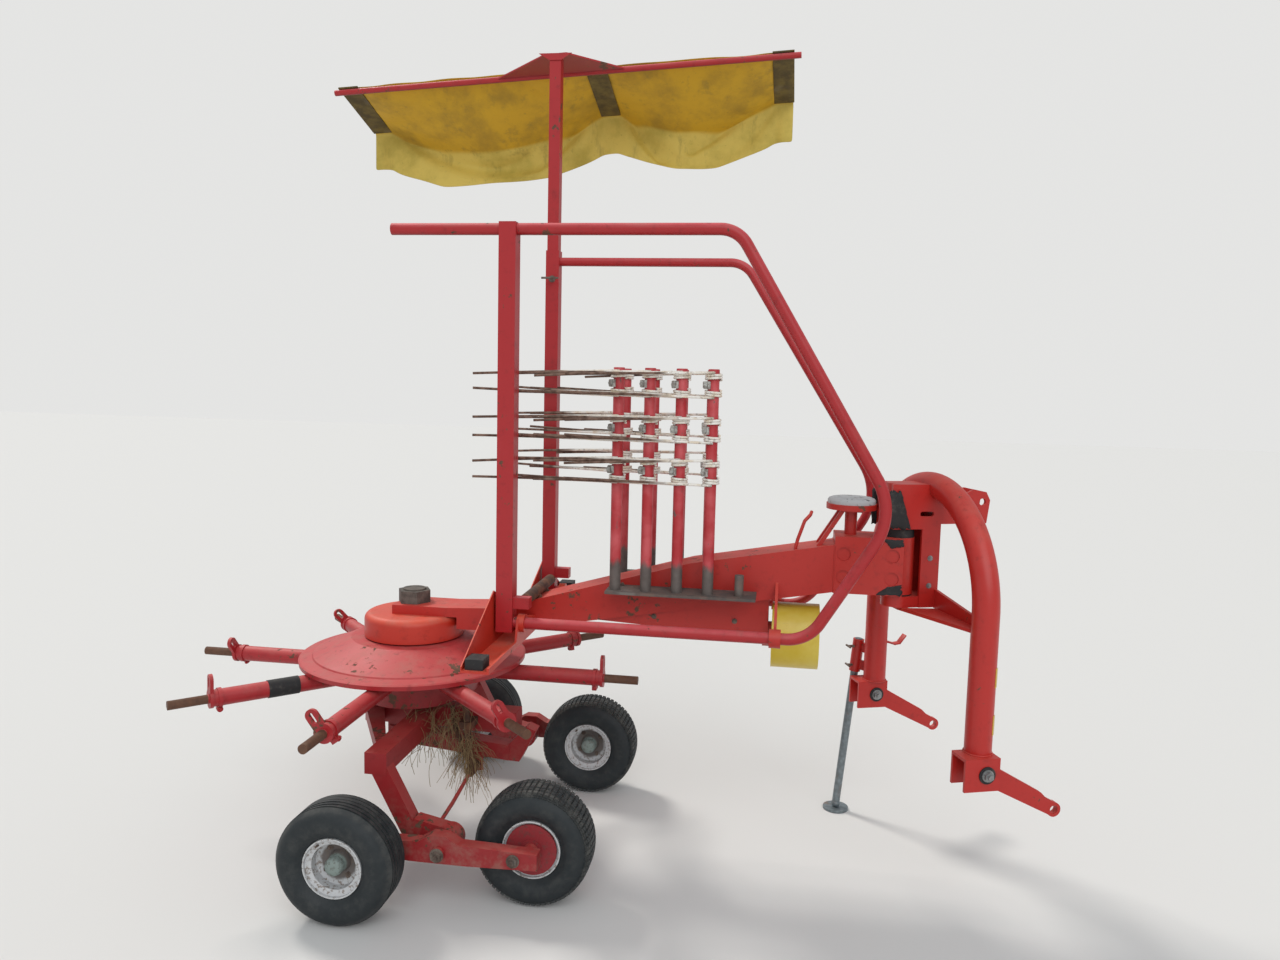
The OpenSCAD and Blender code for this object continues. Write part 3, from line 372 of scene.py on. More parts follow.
def rim_paint(name, centre, red_side):
    p = Paint(name)
    radius = p.from_axis(centre, (1, 0, 1))
    speckle = p.noise(80, 6, 0.7).ease(0.52, 0.60)
    colour = p.blend(p.noise(11, 4, 0.6), (0.46, 0.47, 0.48), (0.60, 0.61, 0.62))
    colour = p.blend(speckle * 0.75, colour, (0.17, 0.12, 0.085))
    # Rust stain and painted shade: the dark ring round the cap stands partly for rust and partly
    # for the shade in the rim's well.
    ragged = radius + (p.noise(26, 4, 0.65) - 0.5) * 0.020
    stain = 1 - ragged.ease(0.056, 0.066)
    rust_and_well_shade = p.blend(speckle, (0.085, 0.062, 0.050), (0.16, 0.13, 0.11))
    colour = p.blend(stain * 0.85, colour, rust_and_well_shade)
    core = 1 - radius.ease(CAP_R + 0.0005, CAP_R + 0.0035)
    cap = p.blend(speckle * 0.5, (0.22, 0.27, 0.25), (0.09, 0.075, 0.06))
    colour = p.blend(core, colour, cap)
    if red_side:
        offset = (p.axis(p.places, "Y") - centre.y) * red_side
        disc = offset.ease(0.052, 0.054) * (1 - radius.ease(*RED_DISC_ENDS))
        dirt = p.noise(60, 5, 0.7).ease(0.50, 0.66) * 0.6
        red = p.blend(dirt, (0.27, 0.020, 0.026), (0.10, 0.045, 0.038))
        colour = p.blend(disc, colour, red)
    return p.set(Base_Color=colour, Roughness=0.6 + speckle * 0.2, Metallic=0.1,
        Normal=p.bump(p.noise(110, 4), 0.2, 0.001))


# %% [markdown]
# Three finishes are used once each: the moulded yellow plastic of the shaft guard, the black
# rubber of the pads and the sleeve, and the mineral-grey plate on the rest disc, which is
# speckled with lichen.

# %% Plastic, rubber pads and the speckled plate
def moulded_plastic():
    p = Paint("guard_plastic")
    haze = p.noise(6, 4, 0.6).ease(0.35, 0.75)
    colour = p.blend(haze, (0.62, 0.44, 0.020), (0.70, 0.55, 0.09))
    scuff = p.noise(40, 5, 0.7, (0.3, 1, 1)).ease(0.60, 0.74)
    colour = p.blend(scuff * 0.5, colour, (0.30, 0.24, 0.08))
    return p.set(Base_Color=colour, Roughness=0.38 + scuff * 0.3, Coat_Weight=0.15,
        Normal=p.bump(p.noise(50, 3), 0.1, 0.001))


def black_rubber():
    p = Paint("black_rubber")
    dust = p.noise(30, 5, 0.7).ease(0.5, 0.8)
    return p.set(Base_Color=p.blend(dust * 0.4, (0.014, 0.014, 0.015), (0.16, 0.14, 0.12)),
        Roughness=0.7, Normal=p.bump(p.noise(140, 3), 0.2, 0.001))


def speckled_plate():
    p = Paint("speckled_plate")
    spots = p.noise(38, 5, 0.7).ease(0.56, 0.66)
    rings = p.cells(52).ease(0.0, 0.35)
    colour = p.blend(spots, (0.46, 0.47, 0.48), (0.10, 0.10, 0.105))
    colour = p.blend((1 - rings) * 0.4, colour, (0.62, 0.62, 0.60))
    return p.set(Base_Color=colour, Roughness=0.75, Normal=p.bump(p.noise(60, 4), 0.3, 0.0015))


guard_plastic = moulded_plastic()
pad_rubber = black_rubber()
disc_plate = speckled_plate()

# %% [markdown]
# A imported node can hold solids of several colours, and each keeps its own material slot in the
# order that it was drawn. So every slot of a node gets the one material, and whatever shape the
# node already has stays as it is.

# %% Dress the imported nodes
def dress(material, *nodes):
    for name in nodes:
        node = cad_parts[name]
        slots = node.data.materials
        if not len(slots):
            slots.append(material)
        for k in range(len(slots)):
            slots[k] = material


dress(frame_paint, "guard_right", "guard_left", "curtain_post", "curtain_bar")
dress(disc_plate, "rest_plate")
dress(pad_rubber, "wing_pad_right", "wing_pad_left")
dress(stiffener_steel, "curtain_stiffeners")
dress(cap_steel, "drum_cap")
dress(beam_paint, "main_beam", "beam_head", "drive_panel", "rest_disc")
dress(housing_paint, "gear_drum", "guard_bracket_right", "guard_bracket_left")
dress(rotor_paint, "rotor_pan", "rotor_arms")
dress(chassis_paint, "chassis_frame", "leg_right", "leg_left", "rocker_right", "rocker_left")
dress(headstock_paint, "headstock_column", "headstock_hoop", "link_clevises", "link_tongues",
    "stand_guide")
dress(chassis_paint, "rotor_column")
dress(rust, "height_spindle", "cross_pipe")
dress(rack_steel, "rack_right", "rack_left")
dress(worn_steel, "pto_shaft")
dress(stand_zinc, "stand_leg")
dress(guard_plastic, "pto_cup")

# %% [markdown]
# New pieces start as a bmesh. One helper turns it into an object: it merges doubles, points the
# faces outwards, shades the surface smooth up to a chosen angle, and lets the piece ride on the
# body that carries it.

# %% Helpers for bmesh pieces
def piece(name, bm, material, body, angle=35, turn_out=True):
    bmesh.ops.remove_doubles(bm, verts=bm.verts, dist=0.00002)
    if turn_out:
        bmesh.ops.recalc_face_normals(bm, faces=bm.faces)
    mesh = bpy.data.meshes.new(name)
    bm.to_mesh(mesh)
    bm.free()
    mesh.materials.append(material)
    mesh.shade_smooth()
    mesh.set_sharp_from_angle(angle=math.radians(angle))
    made = bpy.data.objects.new(name, mesh)
    bpy.context.scene.collection.objects.link(made)
    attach(made, body)
    return made


def along(start, end):
    """A matrix whose Z axis runs from start to end, placed at start."""
    turn = (end - start).to_track_quat("Z", "Y").to_matrix().to_4x4()
    return Matrix.Translation(start) @ turn


def add_rod(bm, start, end, radius, sides=20, tip=None, caps=True):
    length = (end - start).length
    place = along(start, end) @ Matrix.Translation((0, 0, length / 2))
    bmesh.ops.create_cone(bm, cap_ends=caps, segments=sides, radius1=radius,
        radius2=radius if tip is None else tip, depth=length, matrix=place)


def round_edges(bm, edges, offset):
    bmesh.ops.bevel(bm, geom=edges, offset=offset, segments=2, profile=0.5, affect="EDGES",
        material=-1)


def add_block(bm, centre, size, turn=None, bevel=0.002):
    place = Matrix.Translation(centre) @ (turn or Matrix.Identity(4))
    made = bmesh.ops.create_cube(bm, size=1, matrix=place @ Matrix.Diagonal((*size, 1)))
    round_edges(bm, list({e for v in made["verts"] for e in v.link_edges}), bevel)


def add_bolt(bm, place, direction, size):
    """A hexagon head with its washer, standing on a face, and a thread end that shows."""
    direction = direction.normalized()
    add_rod(bm, place - direction * 0.002, place + direction * size * 0.22, size * 1.25, 16)
    add_rod(bm, place + direction * size * 0.2, place + direction * size * 0.9, size * 0.98, 6)
    add_rod(bm, place + direction * size * 0.9, place + direction * size * 1.35, size * 0.52, 10)


def wires(name, paths, radius, material, body, sides=2):
    """Bent wire: one curve with a spline per path, made into a mesh."""
    data = bpy.data.curves.new(name, "CURVE")
    data.dimensions = "3D"
    data.bevel_depth = radius
    data.bevel_resolution = sides
    data.use_fill_caps = True
    for path in paths:
        spline = data.splines.new("POLY")
        spline.points.add(len(path) - 1)
        for point, place in zip(spline.points, path):
            point.co = (*place, 1)
    bent = bpy.data.objects.new(name, data)
    bpy.context.scene.collection.objects.link(bent)
    mesh = bpy.data.meshes.new_from_object(bent.evaluated_get(
        bpy.context.evaluated_depsgraph_get()))
    bpy.data.objects.remove(bent)
    mesh.name = name
    mesh.materials.clear()
    mesh.materials.append(material)
    mesh.shade_smooth()
    made = bpy.data.objects.new(name, mesh)
    bpy.context.scene.collection.objects.link(made)
    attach(made, body)
    return made


# %% [markdown]
# The rear tyres are ribbed: five grooves run round the tread. A tyre is a turned shape, so its
# profile is drawn once as a strip of edges and spun round the axle. The front tyres have a tread
# of small blocks. There the crown is spun in steps of one block, and each crown face is inset
# and raised by itself, so that grooves stay between them in both directions.

# %% Tyres
TYRE_R = 0.203
RIB_STEPS, BLOCK_STEPS = 88, 64
SIDEWALL = [(0.1018, 0.056), (0.1045, 0.063), (0.111, 0.0665), (0.121, 0.0745), (0.129, 0.0792),
    (0.133, 0.0798), (0.136, 0.0812), (0.150, 0.0822), (0.166, 0.0806), (0.178, 0.0752),
    (0.186, 0.0690), (0.1905, 0.0640)]


def ribbed_crown():
    points = [(0.1965, 0.0560)]
    for edge in (0.047, 0.0285, 0.0095):
        points += [(0.2010, edge + 0.0028), (0.1938, edge + 0.0020), (0.1938, edge - 0.0020),
            (0.2022, edge - 0.0028)]
    return points


def profile_strip(bm, outline, centre):
    """The outline's left half, crown and mirrored right half as one chain of edges."""
    chain = [(r, y) for r, y in outline] + [(r, -y) for r, y in reversed(outline)]
    corners = [bm.verts.new(centre + Vector((r, y, 0))) for r, y in chain]
    return [bm.edges.new(pair) for pair in zip(corners, corners[1:])]


def turned(bm, edges, centre, steps):
    bmesh.ops.spin(bm, geom=edges + list({v for e in edges for v in e.verts}), cent=centre,
        axis=(0, 1, 0), angle=math.tau, steps=steps, use_merge=True)


def tyre_piece(wheel, centre, blocks):
    bm = bmesh.new()
    if blocks:
        crown = [(0.1930, 0.0560), (0.1958, 0.0390), (0.1965, 0.0200)]
        edges = profile_strip(bm, SIDEWALL + crown, centre)
        turned(bm, edges, centre, BLOCK_STEPS)
        bmesh.ops.recalc_face_normals(bm, faces=bm.faces)
        tread = [f for f in bm.faces if all((Vector((v.co.x, 0, v.co.z))
            - Vector((centre.x, 0, centre.z))).length > 0.184 for v in f.verts)]
        bmesh.ops.inset_individual(bm, faces=tread, thickness=0.0014, depth=0, use_even_offset=True)
        bmesh.ops.inset_individual(bm, faces=tread, thickness=0.0018, depth=0.0066,
            use_even_offset=True)
    else:
        turned(bm, profile_strip(bm, SIDEWALL + ribbed_crown(), centre), centre, RIB_STEPS)
    rubber = tyre_rubber("rubber_" + wheel, centre, 0.38 if blocks else 0.14)
    made = piece("tread_" + wheel, bm, rubber, "wheel_" + wheel, 28)
    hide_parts("tyre_" + wheel)
    return made


WHEELS = {
    "rear_right": (0.030, -0.7135), "rear_left": (0.030, 0.7135),
    "front_right": (0.624, -0.4655), "front_left": (0.624, 0.4655)}
rim_paints = {}
for wheel, (x, y) in WHEELS.items():
    centre = at(x, y, TYRE_R)
    tyre_piece(wheel, centre, wheel.startswith("front"))
    red_side = math.copysign(1, y) if wheel.startswith("front") else 0
    rim_paints[wheel] = rim_paint("rim_paint_" + wheel, centre, red_side)
    dress(rim_paints[wheel], "rim_" + wheel)
print("tyres", list(WHEELS))

# %% [markdown]
# Every rim has a ring of wheel bolts round its hub, a valve stem, and a domed grease cap. The cap
# is a short profile spun round the axle, and takes the rim's own paint, which turns grey green
# near the axle. The bolts and the valve are tiny, so one object per wheel holds them all.

# %% Hub caps, wheel bolts and valves
for wheel, (x, y) in WHEELS.items():
    centre = at(x, y, TYRE_R)
    cap_side = math.copysign(1, y) * (1 if wheel.startswith("rear") else -1)
    out = Vector((0, cap_side, 0))
    bm = bmesh.new()
    dome = [(CAP_R, 0.036), (CAP_R, 0.050), (0.0285, 0.056), (0.0235, 0.0605), (0.0150, 0.0635),
        (0.0, 0.0645)]
    corners = [bm.verts.new(centre + Vector((r, cap_side * y, 0))) for r, y in dome]
    turned(bm, [bm.edges.new(pair) for pair in zip(corners, corners[1:])], centre, 32)
    piece("grease_cap_" + wheel, bm, rim_paints[wheel], "wheel_" + wheel)
    bm = bmesh.new()
    for k in range(4):
        angle = math.tau * k / 4 + 0.6
        spoke = Vector((math.cos(angle), 0, math.sin(angle)))
        add_bolt(bm, centre + out * 0.0065 + spoke * 0.055, out, 0.0085)
    valve = Vector((math.cos(2.2), 0, math.sin(2.2)))
    add_rod(bm, centre + valve * 0.085 + out * 0.035, centre + valve * 0.088 + out * 0.068,
        0.0038, 12)
    piece("hub_details_" + wheel, bm, bolt_steel, "wheel_" + wheel)

# %% [markdown]
# On the real rake the tine arms are what you look at: a red tube with three pairs of spring
# tines. Each pair is a single length of spring wire. It starts at a tip, runs straight, winds
# nearly three turns round the tube, passes behind a clamp, winds as many turns again and runs out
# to the second tip. The solids hold each coil as a stack of rings. Here the wire really is wound,
# as one path with sixteen points a turn.

# %% Wound spring tines
ARM_X0, ARM_PITCH, ARM_Y, ARM_Z, ARM_LEN = 0.829, 0.112, 0.167, 1.035, 0.800
TINE_LEVELS = (0.744, 0.586, 0.437)
COIL_R, WIRE_R, CLAMP_H = 0.0265, 0.0045, 0.028
TURNS = 2.75
TURN_POINTS = 16
TINE_RUN, TINE_POINTS = 0.52, 10
TINE_CLOSING = 0.0294
TINE_TURN = math.radians(4.95)
RACK_BACK = {-1: 0.0, 1: 0.030}
random.seed(7)


def tine_paint():
    p = Paint("tine_paint")
    out = p.axis(p.places, "Y").abs() - (ARM_Y + COIL_R)
    bare = (out + (p.noise(16, 4) - 0.5) * 0.012).ease(0.014, 0.023)
    flaked = p.noise(70, 6, 0.7).ease(0.53, 0.62)
    rusted = bare.most(flaked * 0.5)
    white = p.blend(p.noise(30, 3).ease(0.4, 0.7), (0.84, 0.82, 0.76), (0.74, 0.64, 0.50))
    brown = p.blend(p.noise(45, 4).ease(0.35, 0.65), (0.085, 0.045, 0.030), (0.21, 0.13, 0.095))
    return p.set(Base_Color=p.blend(rusted, white, brown), Roughness=0.65 + rusted * 0.15,
        Normal=p.bump(p.noise(150, 4, 0.7), 0.3, 0.0006))


def arm_foot(out_side, i):
    return at(ARM_X0 - RACK_BACK[out_side] + i * ARM_PITCH, out_side * ARM_Y, ARM_Z)


def spring_pair(foot, out_side, level):
    """The two wires of a pair: a coil next to the clamp, then a straight tine to its tip."""
    turn = TINE_TURN * out_side
    paths = []
    for upward in (1, -1):
        path = []
        bend = random.uniform(-0.040, 0.022)
        stray = random.uniform(-0.008, 0.010)
        for k in range(int(TURNS * TURN_POINTS) + 1):
            done = k / TURN_POINTS
            phase = math.pi / 2 * out_side - turn + (TURNS - done) * math.tau * out_side
            z = CLAMP_H / 2 + WIRE_R + 2.05 * WIRE_R * done
            path.append(foot + Vector((COIL_R * math.cos(phase), COIL_R * math.sin(phase),
                level + upward * z)))
        leave = path[-1]
        for k in range(1, TINE_POINTS + 1):
            run = TINE_RUN * k / TINE_POINTS
            path.append(leave + Vector((-run * math.cos(turn),
                run * abs(math.sin(turn)) * out_side + stray * run * run * out_side,
                bend * run * run - upward * run * TINE_CLOSING)))
        paths.append(path)
    return paths


tines = tine_paint()
for name, out_side in (("right", -1), ("left", 1)):
    for i in range(4):
        foot = arm_foot(out_side, i)
        paths = []
        for level in TINE_LEVELS:
            paths += spring_pair(foot, out_side, level)
        wires(f"spring_tines_{name}_{i + 1}", paths, WIRE_R, tines, "chassis")
print("spring tines wound, points per wire", len(paths[0]))

# %% [markdown]
# The tube of each arm is open at its foot, where it slides over the spigot, and has a flat cap.
# Its lowest eighth is rubbed to bare grey steel. The clamps are pressed blocks behind the tube,
# each with a rolled outer edge and one bolt.

# %% Tubes and clamps of the stored arms
TUBE_R, TUBE_WALL, SPIGOT_LEN = 0.020, 0.0037, 0.078
RUBBED_ENDS = (0.085, 0.115)


def arm_tube_paint():
    p = Paint("arm_tube_paint")
    height = p.axis(p.places, "Z") - ARM_Z
    streaks = p.noise(22, 4, 0.6, (1, 1, 0.3))
    worn = 1 - (height + (streaks - 0.5) * 0.10).ease(*RUBBED_ENDS)
    scrape = (p.noise(48, 6, 0.65, (1, 1, 0.45)) * 0.7 + p.noise(9, 2) * 0.3).ease(0.60, 0.63)
    red = p.blend(p.noise(12, 4).ease(0.35, 0.7), (0.42, 0.020, 0.026), (0.56, 0.085, 0.095))
    steel = p.blend(p.noise(30, 4), (0.075, 0.06, 0.055), (0.20, 0.17, 0.155))
    bare = worn.most(scrape * 0.85)
    return p.set(Base_Color=p.blend(bare, red, steel), Roughness=0.5 + bare * 0.2,
        Metallic=bare * 0.3, Normal=p.bump(p.noise(90, 3) * 0.4 - bare * 0.6, 0.2, 0.001))


def clamp_paint():
    p = Paint("clamp_paint")
    spots = p.noise(60, 5, 0.7).ease(0.42, 0.60)
    colour = p.blend(spots, (0.46, 0.46, 0.43), (0.23, 0.20, 0.18))
    return p.set(Base_Color=colour, Roughness=0.6, Metallic=0.25,
        Normal=p.bump(p.noise(100, 3), 0.2, 0.001))


tube_paint = arm_tube_paint()
clamp_grey = clamp_paint()
for name, out_side in (("right", -1), ("left", 1)):
    turn = Matrix.Rotation(-TINE_TURN * out_side, 4, "Z")
    for i in range(4):
        foot = arm_foot(out_side, i)
        bm = bmesh.new()
        add_rod(bm, foot, foot + Vector((0, 0, ARM_LEN)), TUBE_R, 32)
        foot_face = [f for f in bm.faces if f.calc_center_median().z < ARM_Z + 0.001]
        bmesh.ops.inset_region(bm, faces=foot_face, thickness=TUBE_WALL)
        bmesh.ops.translate(bm, verts=foot_face[0].verts, vec=(0, 0, SPIGOT_LEN))
        lip = [e for e in bm.edges if all(v.co.z > ARM_Z + ARM_LEN - 0.0005 for v in e.verts)]
        round_edges(bm, lip, 0.0025)
        tube = piece(f"arm_tube_{name}_{i + 1}", bm, tube_paint, "chassis", 40)
        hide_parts(f"stored_arm_{name}_{i + 1}")
        bm = bmesh.new()
        for level in TINE_LEVELS:
            middle = foot + Vector((0, 0, level))
            rear = (turn @ Vector((-1, 0, 0, 0))).to_3d()
            outward = (turn @ Vector((0, out_side, 0, 0))).to_3d()
            add_block(bm, middle + rear * 0.0235, (0.025, 0.031, CLAMP_H - 0.001), turn, 0.004)
            edge = middle + rear * 0.0165 + outward * 0.0150
            add_rod(bm, edge - Vector((0, 0, 0.0135)), edge + Vector((0, 0, 0.0135)), 0.0065, 16)
            add_bolt(bm, middle + rear * 0.0290 + outward * 0.0155, outward, 0.0070)
        piece(f"tine_clamps_{name}_{i + 1}", bm, clamp_grey, "chassis", 40)

# %% [markdown]
# The curtain keeps the swath in line when the guard is folded down. Parked, it lies on three
# flat stiffeners that slope outward, and its outer edge hangs. A cloth simulation gives it its
# real folds: the cloth is pinned along the bar and at the stiffeners, and everything between
# them sags under gravity. Old canvas keeps the creases it was folded in, so the flat cloth
# starts with a few slanting ones, and it is cut one percent longer than its place.

# %% Curtain cloth
BAR_Y, BAR_Z, BAR_SLOPE = 0.450, 3.032, math.radians(3.1)
bar_frame = Matrix.Translation(at(0.475, BAR_Y, BAR_Z)) @ Matrix.Rotation(-BAR_SLOPE, 4, "Y")
BAR_LEN = 1.96
CLOTH_FROM, CLOTH_TO = -BAR_LEN * 0.515 + 0.02, BAR_LEN * 0.485 - 0.03
REACH, HANG = 0.362, 0.165
STIFFENERS = (-BAR_LEN * 0.515 + 0.060, 0.120, BAR_LEN * 0.485 - 0.070)
CLOTH_Z = 0.021
FALL = math.radians(16)
fall_frame = bar_frame @ Matrix.Rotation(-FALL, 4, "X")
STIFFENER_HALF = 0.043
CREASE_DEPTH, CREASE_HALF = 0.030, 0.035


def canvas_paint():
    p = Paint("yellow_canvas")
    stain = p.noise(5.5, 5, 0.65).ease(0.38, 0.72)
    colour = p.blend(stain, (0.58, 0.34, 0.010), (0.36, 0.215, 0.012))
    past_fold = p.node("ShaderNodeAttribute", {"attribute_name": "past_fold"}, {}, "Fac")
    hem = past_fold.ease(-0.012, 0.012)
    colour = p.blend(hem * 0.8, colour, p.blend(stain, (0.70, 0.56, 0.13), (0.50, 0.40, 0.07)))
    runs = p.noise(15, 5, 0.7, (1, 1, 0.22)).ease(0.54, 0.72)
    mildew = p.noise(46, 6, 0.75).ease(0.58, 0.72)
    colour = p.blend(runs.most(mildew) * 0.42, colour, (0.17, 0.125, 0.022))
    x = p.axis(p.places, "X")
    y = p.axis(p.places, "Y")
    weave = (x * 2200).wave() * (y * 2200).wave()
    return p.set(Base_Color=colour, Roughness=0.72, Normal=p.bump(
        weave * 0.15 + p.noise(120, 3) * 0.4, 0.25, 0.0006))


def from_line(spot, start, end):
    """Distance of a point on the flat cloth from the line of a crease."""
    run = end - start
    share = max(0.0, min(1.0, (spot - start).dot(run) / run.length_squared))
    return (spot - start - run * share).length


REAR, MIDDLE, FRONT = STIFFENERS
CREASES = [tuple(Vector(end) for end in pair) for pair in (
    ((REAR + 0.05, REACH - 0.03), (REAR + 0.74, REACH + 0.10)),
    ((REAR + 0.74, REACH + 0.10), (MIDDLE - 0.04, REACH - 0.10)),
    ((MIDDLE + 0.05, REACH - 0.05), (MIDDLE + 0.22, REACH + 0.12)),
    ((FRONT - 0.05, REACH - 0.12), (MIDDLE + 0.36, REACH + 0.07)))]


def cloth_mesh(columns, rows, spare):
    bm = bmesh.new()
    bmesh.ops.create_grid(bm, x_segments=columns, y_segments=rows, size=0.5)
    past_fold = bm.verts.layers.float.new("past_fold")
    for v in bm.verts:
        u, w = v.co.x + 0.5, v.co.y + 0.5
        run = w * (REACH + HANG)
        v[past_fold] = run - REACH
        x = CLOTH_FROM + u * (CLOTH_TO - CLOTH_FROM)
        near = max(0.0, min(abs(x - s) for s in STIFFENERS) - STIFFENER_HALF)
        dip = spare * min(1.0, near / 0.25) ** 0.7 * min(run / REACH, 1.0) * 0.8
        dip += 0.014 * noise.noise(Vector((x * 5 + run * 7, run * 4, 3.1))) * min(1.0, near / 0.06)
        hanging = max(0.0, run - REACH) * Vector((0, 0, 1))
        near_crease = min(from_line(Vector((x, run)), *crease) for crease in CREASES)
        pinch = CREASE_DEPTH * math.exp(-(near_crease / CREASE_HALF) ** 2) * min(1.0, near / 0.06)
        v.co = (fall_frame @ Vector((x, min(run, REACH), CLOTH_Z - dip)) - hanging
            + Vector((0, pinch, -0.6 * pinch)))
    return bm


bm = cloth_mesh(110, 30, 0.10)
curtain = piece("curtain_cloth", bm, canvas_paint(), "curtain", 80, False)
pins = curtain.vertex_groups.new(name="held")
for v in curtain.data.vertices:
    spot = fall_frame.inverted() @ v.co
    near = min(abs(spot.x - s) for s in STIFFENERS)
    if spot.y < 0.012 or (near < STIFFENER_HALF + 0.001 and spot.z > 0.010):
        pins.add([v.index], 1.0, "REPLACE")


def drape(cloth_object, frames):
    """Runs Blender's Cloth on an object with a group of held vertices, and keeps the result."""
    cloth = cloth_object.modifiers.new("drape", "CLOTH")
    rest = cloth.settings
    rest.quality = 8
    rest.mass = 0.45
    rest.tension_stiffness = 40
    rest.compression_stiffness = 25
    rest.shear_stiffness = 12
    rest.bending_stiffness = 1.2
    rest.shrink_min = -0.012
    rest.air_damping = 3.0
    rest.vertex_group_mass = "held"
    cloth.collision_settings.use_collision = False
    cloth.point_cache.frame_end = frames
    scene = bpy.context.scene
    scene.frame_start, scene.frame_end = 1, frames
    for number in range(1, frames + 1):
        scene.frame_set(number)
    settled = bpy.data.meshes.new_from_object(cloth_object.evaluated_get(
        bpy.context.evaluated_depsgraph_get()))
    cloth_object.modifiers.remove(cloth)
    scene.frame_set(1)
    cloth_object.data = settled


drape(curtain, 30)
thick = curtain.modifiers.new("cloth_thickness", "SOLIDIFY")
thick.thickness = 0.0012
thick.offset = 0
round_off = curtain.modifiers.new("soft", "SUBSURF")
round_off.levels = round_off.render_levels = 1
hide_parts("curtain_sheet")
print("curtain hangs to", round(min(v.co.z for v in curtain.data.vertices), 3))

# %% [markdown]
# Bolts hold everything that is not welded. Each is a hexagon with its washer, and the loops give
# where they stand: a point on the face that carries them, and the way they look. The pins of the
# lower links have a black ring under a zinc head.

# %% Bolts of the chassis, the guards and the headstock
bm = bmesh.new()
Y = Vector((0, 1, 0))
Z = Vector((0, 0, 1))
X = Vector((1, 0, 0))
for side_y in (-1, 1):
    out = Y * side_y
    add_bolt(bm, at(0.327, side_y * 0.6260, 0.203), out, 0.019)
    add_bolt(bm, at(0.585, side_y * 0.6150, 0.203), out, 0.018)
    add_bolt(bm, at(0.030, side_y * 0.5650, 0.203), -out, 0.013)
    for x in (0.845, 1.06, 1.275):
        add_bolt(bm, at(x, side_y * 0.100, 1.0355), Z, 0.008)
    for x in (0.96, 1.26):
        add_bolt(bm, at(x, side_y * 0.055, 0.915), out, 0.008)
piece("chassis_bolts", bm, bolt_steel, "chassis", 30)

bm = bmesh.new()
washers = bmesh.new()
for left in (-0.41, 0.41):
    for end in (-1, 1):
        out = on_headstock(0, end, 0) - on_headstock(0, 0, 0)
        start = on_headstock(HOOP_X, left + end * 0.045, LINK_Z)
        add_rod(washers, start, start + out * 0.004, 0.029, 28)
        add_bolt(bm, start + out * 0.004, out, 0.0165)
out = on_headstock(0, -1, 0) - on_headstock(0, 0, 0)
for height in (1.18, 1.08):
    add_bolt(bm, on_headstock(0.094, -0.060, height), out, 0.008)
    add_bolt(bm, on_headstock(0.094, 0.060, height), -out, 0.008)
piece("headstock_bolts", bm, zinc("bolt_zinc"), "headstock", 30)
piece("link_washers", washers, pad_rubber, "headstock", 30)

# %% [markdown]
# Three narrow yellow reflectors are stuck on the legs of the hoop, two on the right leg and one on
# the left, and a small hook for hoses stands out of the left leg.

# %% Reflectors and the hose hook
def reflector_paint():
    p = Paint("reflector_yellow")
    facets = p.cells(260)
    colour = p.blend(facets.ease(0.0, 0.8), (0.75, 0.50, 0.05), (0.52, 0.33, 0.03))
    return p.set(Base_Color=colour, Roughness=0.35, Coat_Weight=0.4)


bm = bmesh.new()
for left, height in ((-0.392, 0.850), (0.392, 0.880), (-0.392, 0.690)):
    spread = 1 if left > 0 else -1
    centre = on_headstock(HOOP_X + 0.0325, left + spread * 0.0303, height)
    turn = Matrix.Rotation(PARK_TURN + spread * 0.75, 4, "Z")
    add_block(bm, centre, (0.004, 0.018, 0.066), turn, 0.0012)
piece("reflectors", bm, reflector_paint(), "headstock")

bm = bmesh.new()
hook = [(0.155, 0.392, 0.752), (0.200, 0.392, 0.738), (0.222, 0.392, 0.741), (0.246, 0.392, 0.772)]
for first, second in zip(hook, hook[1:]):
    start, end = on_headstock(*first), on_headstock(*second)
    turn = (end - start).to_track_quat("X", "Z").to_matrix().to_4x4()
    add_block(bm, (start + end) / 2, ((end - start).length + 0.006, 0.030, 0.006), turn, 0.001)
piece("hose_hook", bm, headstock_paint, "headstock")

# %% [markdown]
# One rotor arm carries a black sleeve near the pan, where a hose was once slid over it. Each arm
# has a ring and a clamp with a bolt behind its flange, turned about the arm as the flange's lug is.

# %% Rotor arm fittings
ARM_HEIGHT = 0.646
ARM_TURNS = (0, 10, 25, 40, 40, 5, -36, -30)
bm = bmesh.new()
spoke = Vector((math.cos(math.radians(225)), math.sin(math.radians(225)), 0))
add_rod(bm, at(0, 0, ARM_HEIGHT) + spoke * 0.455, at(0, 0, ARM_HEIGHT) + spoke * 0.565, 0.0325, 32)
piece("arm_sleeve", bm, pad_rubber, "rotor")

bm = bmesh.new()
for k, lean in enumerate(ARM_TURNS):
    turn = Matrix.Rotation(k * math.tau / 8, 4, "Z") @ Matrix.Rotation(math.radians(-lean), 4, "X")
    spoke, across, upward = (turn @ axis for axis in (Vector((1, 0, 0)), Vector((0, 1, 0)),
        Vector((0, 0, 1))))
    hub = at(0, 0, ARM_HEIGHT)
    add_rod(bm, hub + spoke * 0.722, hub + spoke * 0.736, 0.0345, 28)
    add_block(bm, hub + spoke * 0.729 - upward * 0.038, (0.018, 0.026, 0.020), turn, 0.002)
    add_bolt(bm, hub + spoke * 0.729 + across * 0.012 - upward * 0.040, across, 0.0085)
piece("arm_clamps", bm, rotor_paint, "rotor", 30)

# %% [markdown]
# Years of mowing have wound dry grass round the column and the levers. Wisps are short bent
# wires with a random start near the column, a downward drift and a little curl. The seed is
# fixed, so every run gives the same tangle.

# %% Dry grass
def straw_paint():
    p = Paint("dry_grass")
    tone = p.noise(40, 2)
    return p.set(Base_Color=p.blend(tone, (0.17, 0.105, 0.045), (0.36, 0.26, 0.13)), Roughness=0.9)


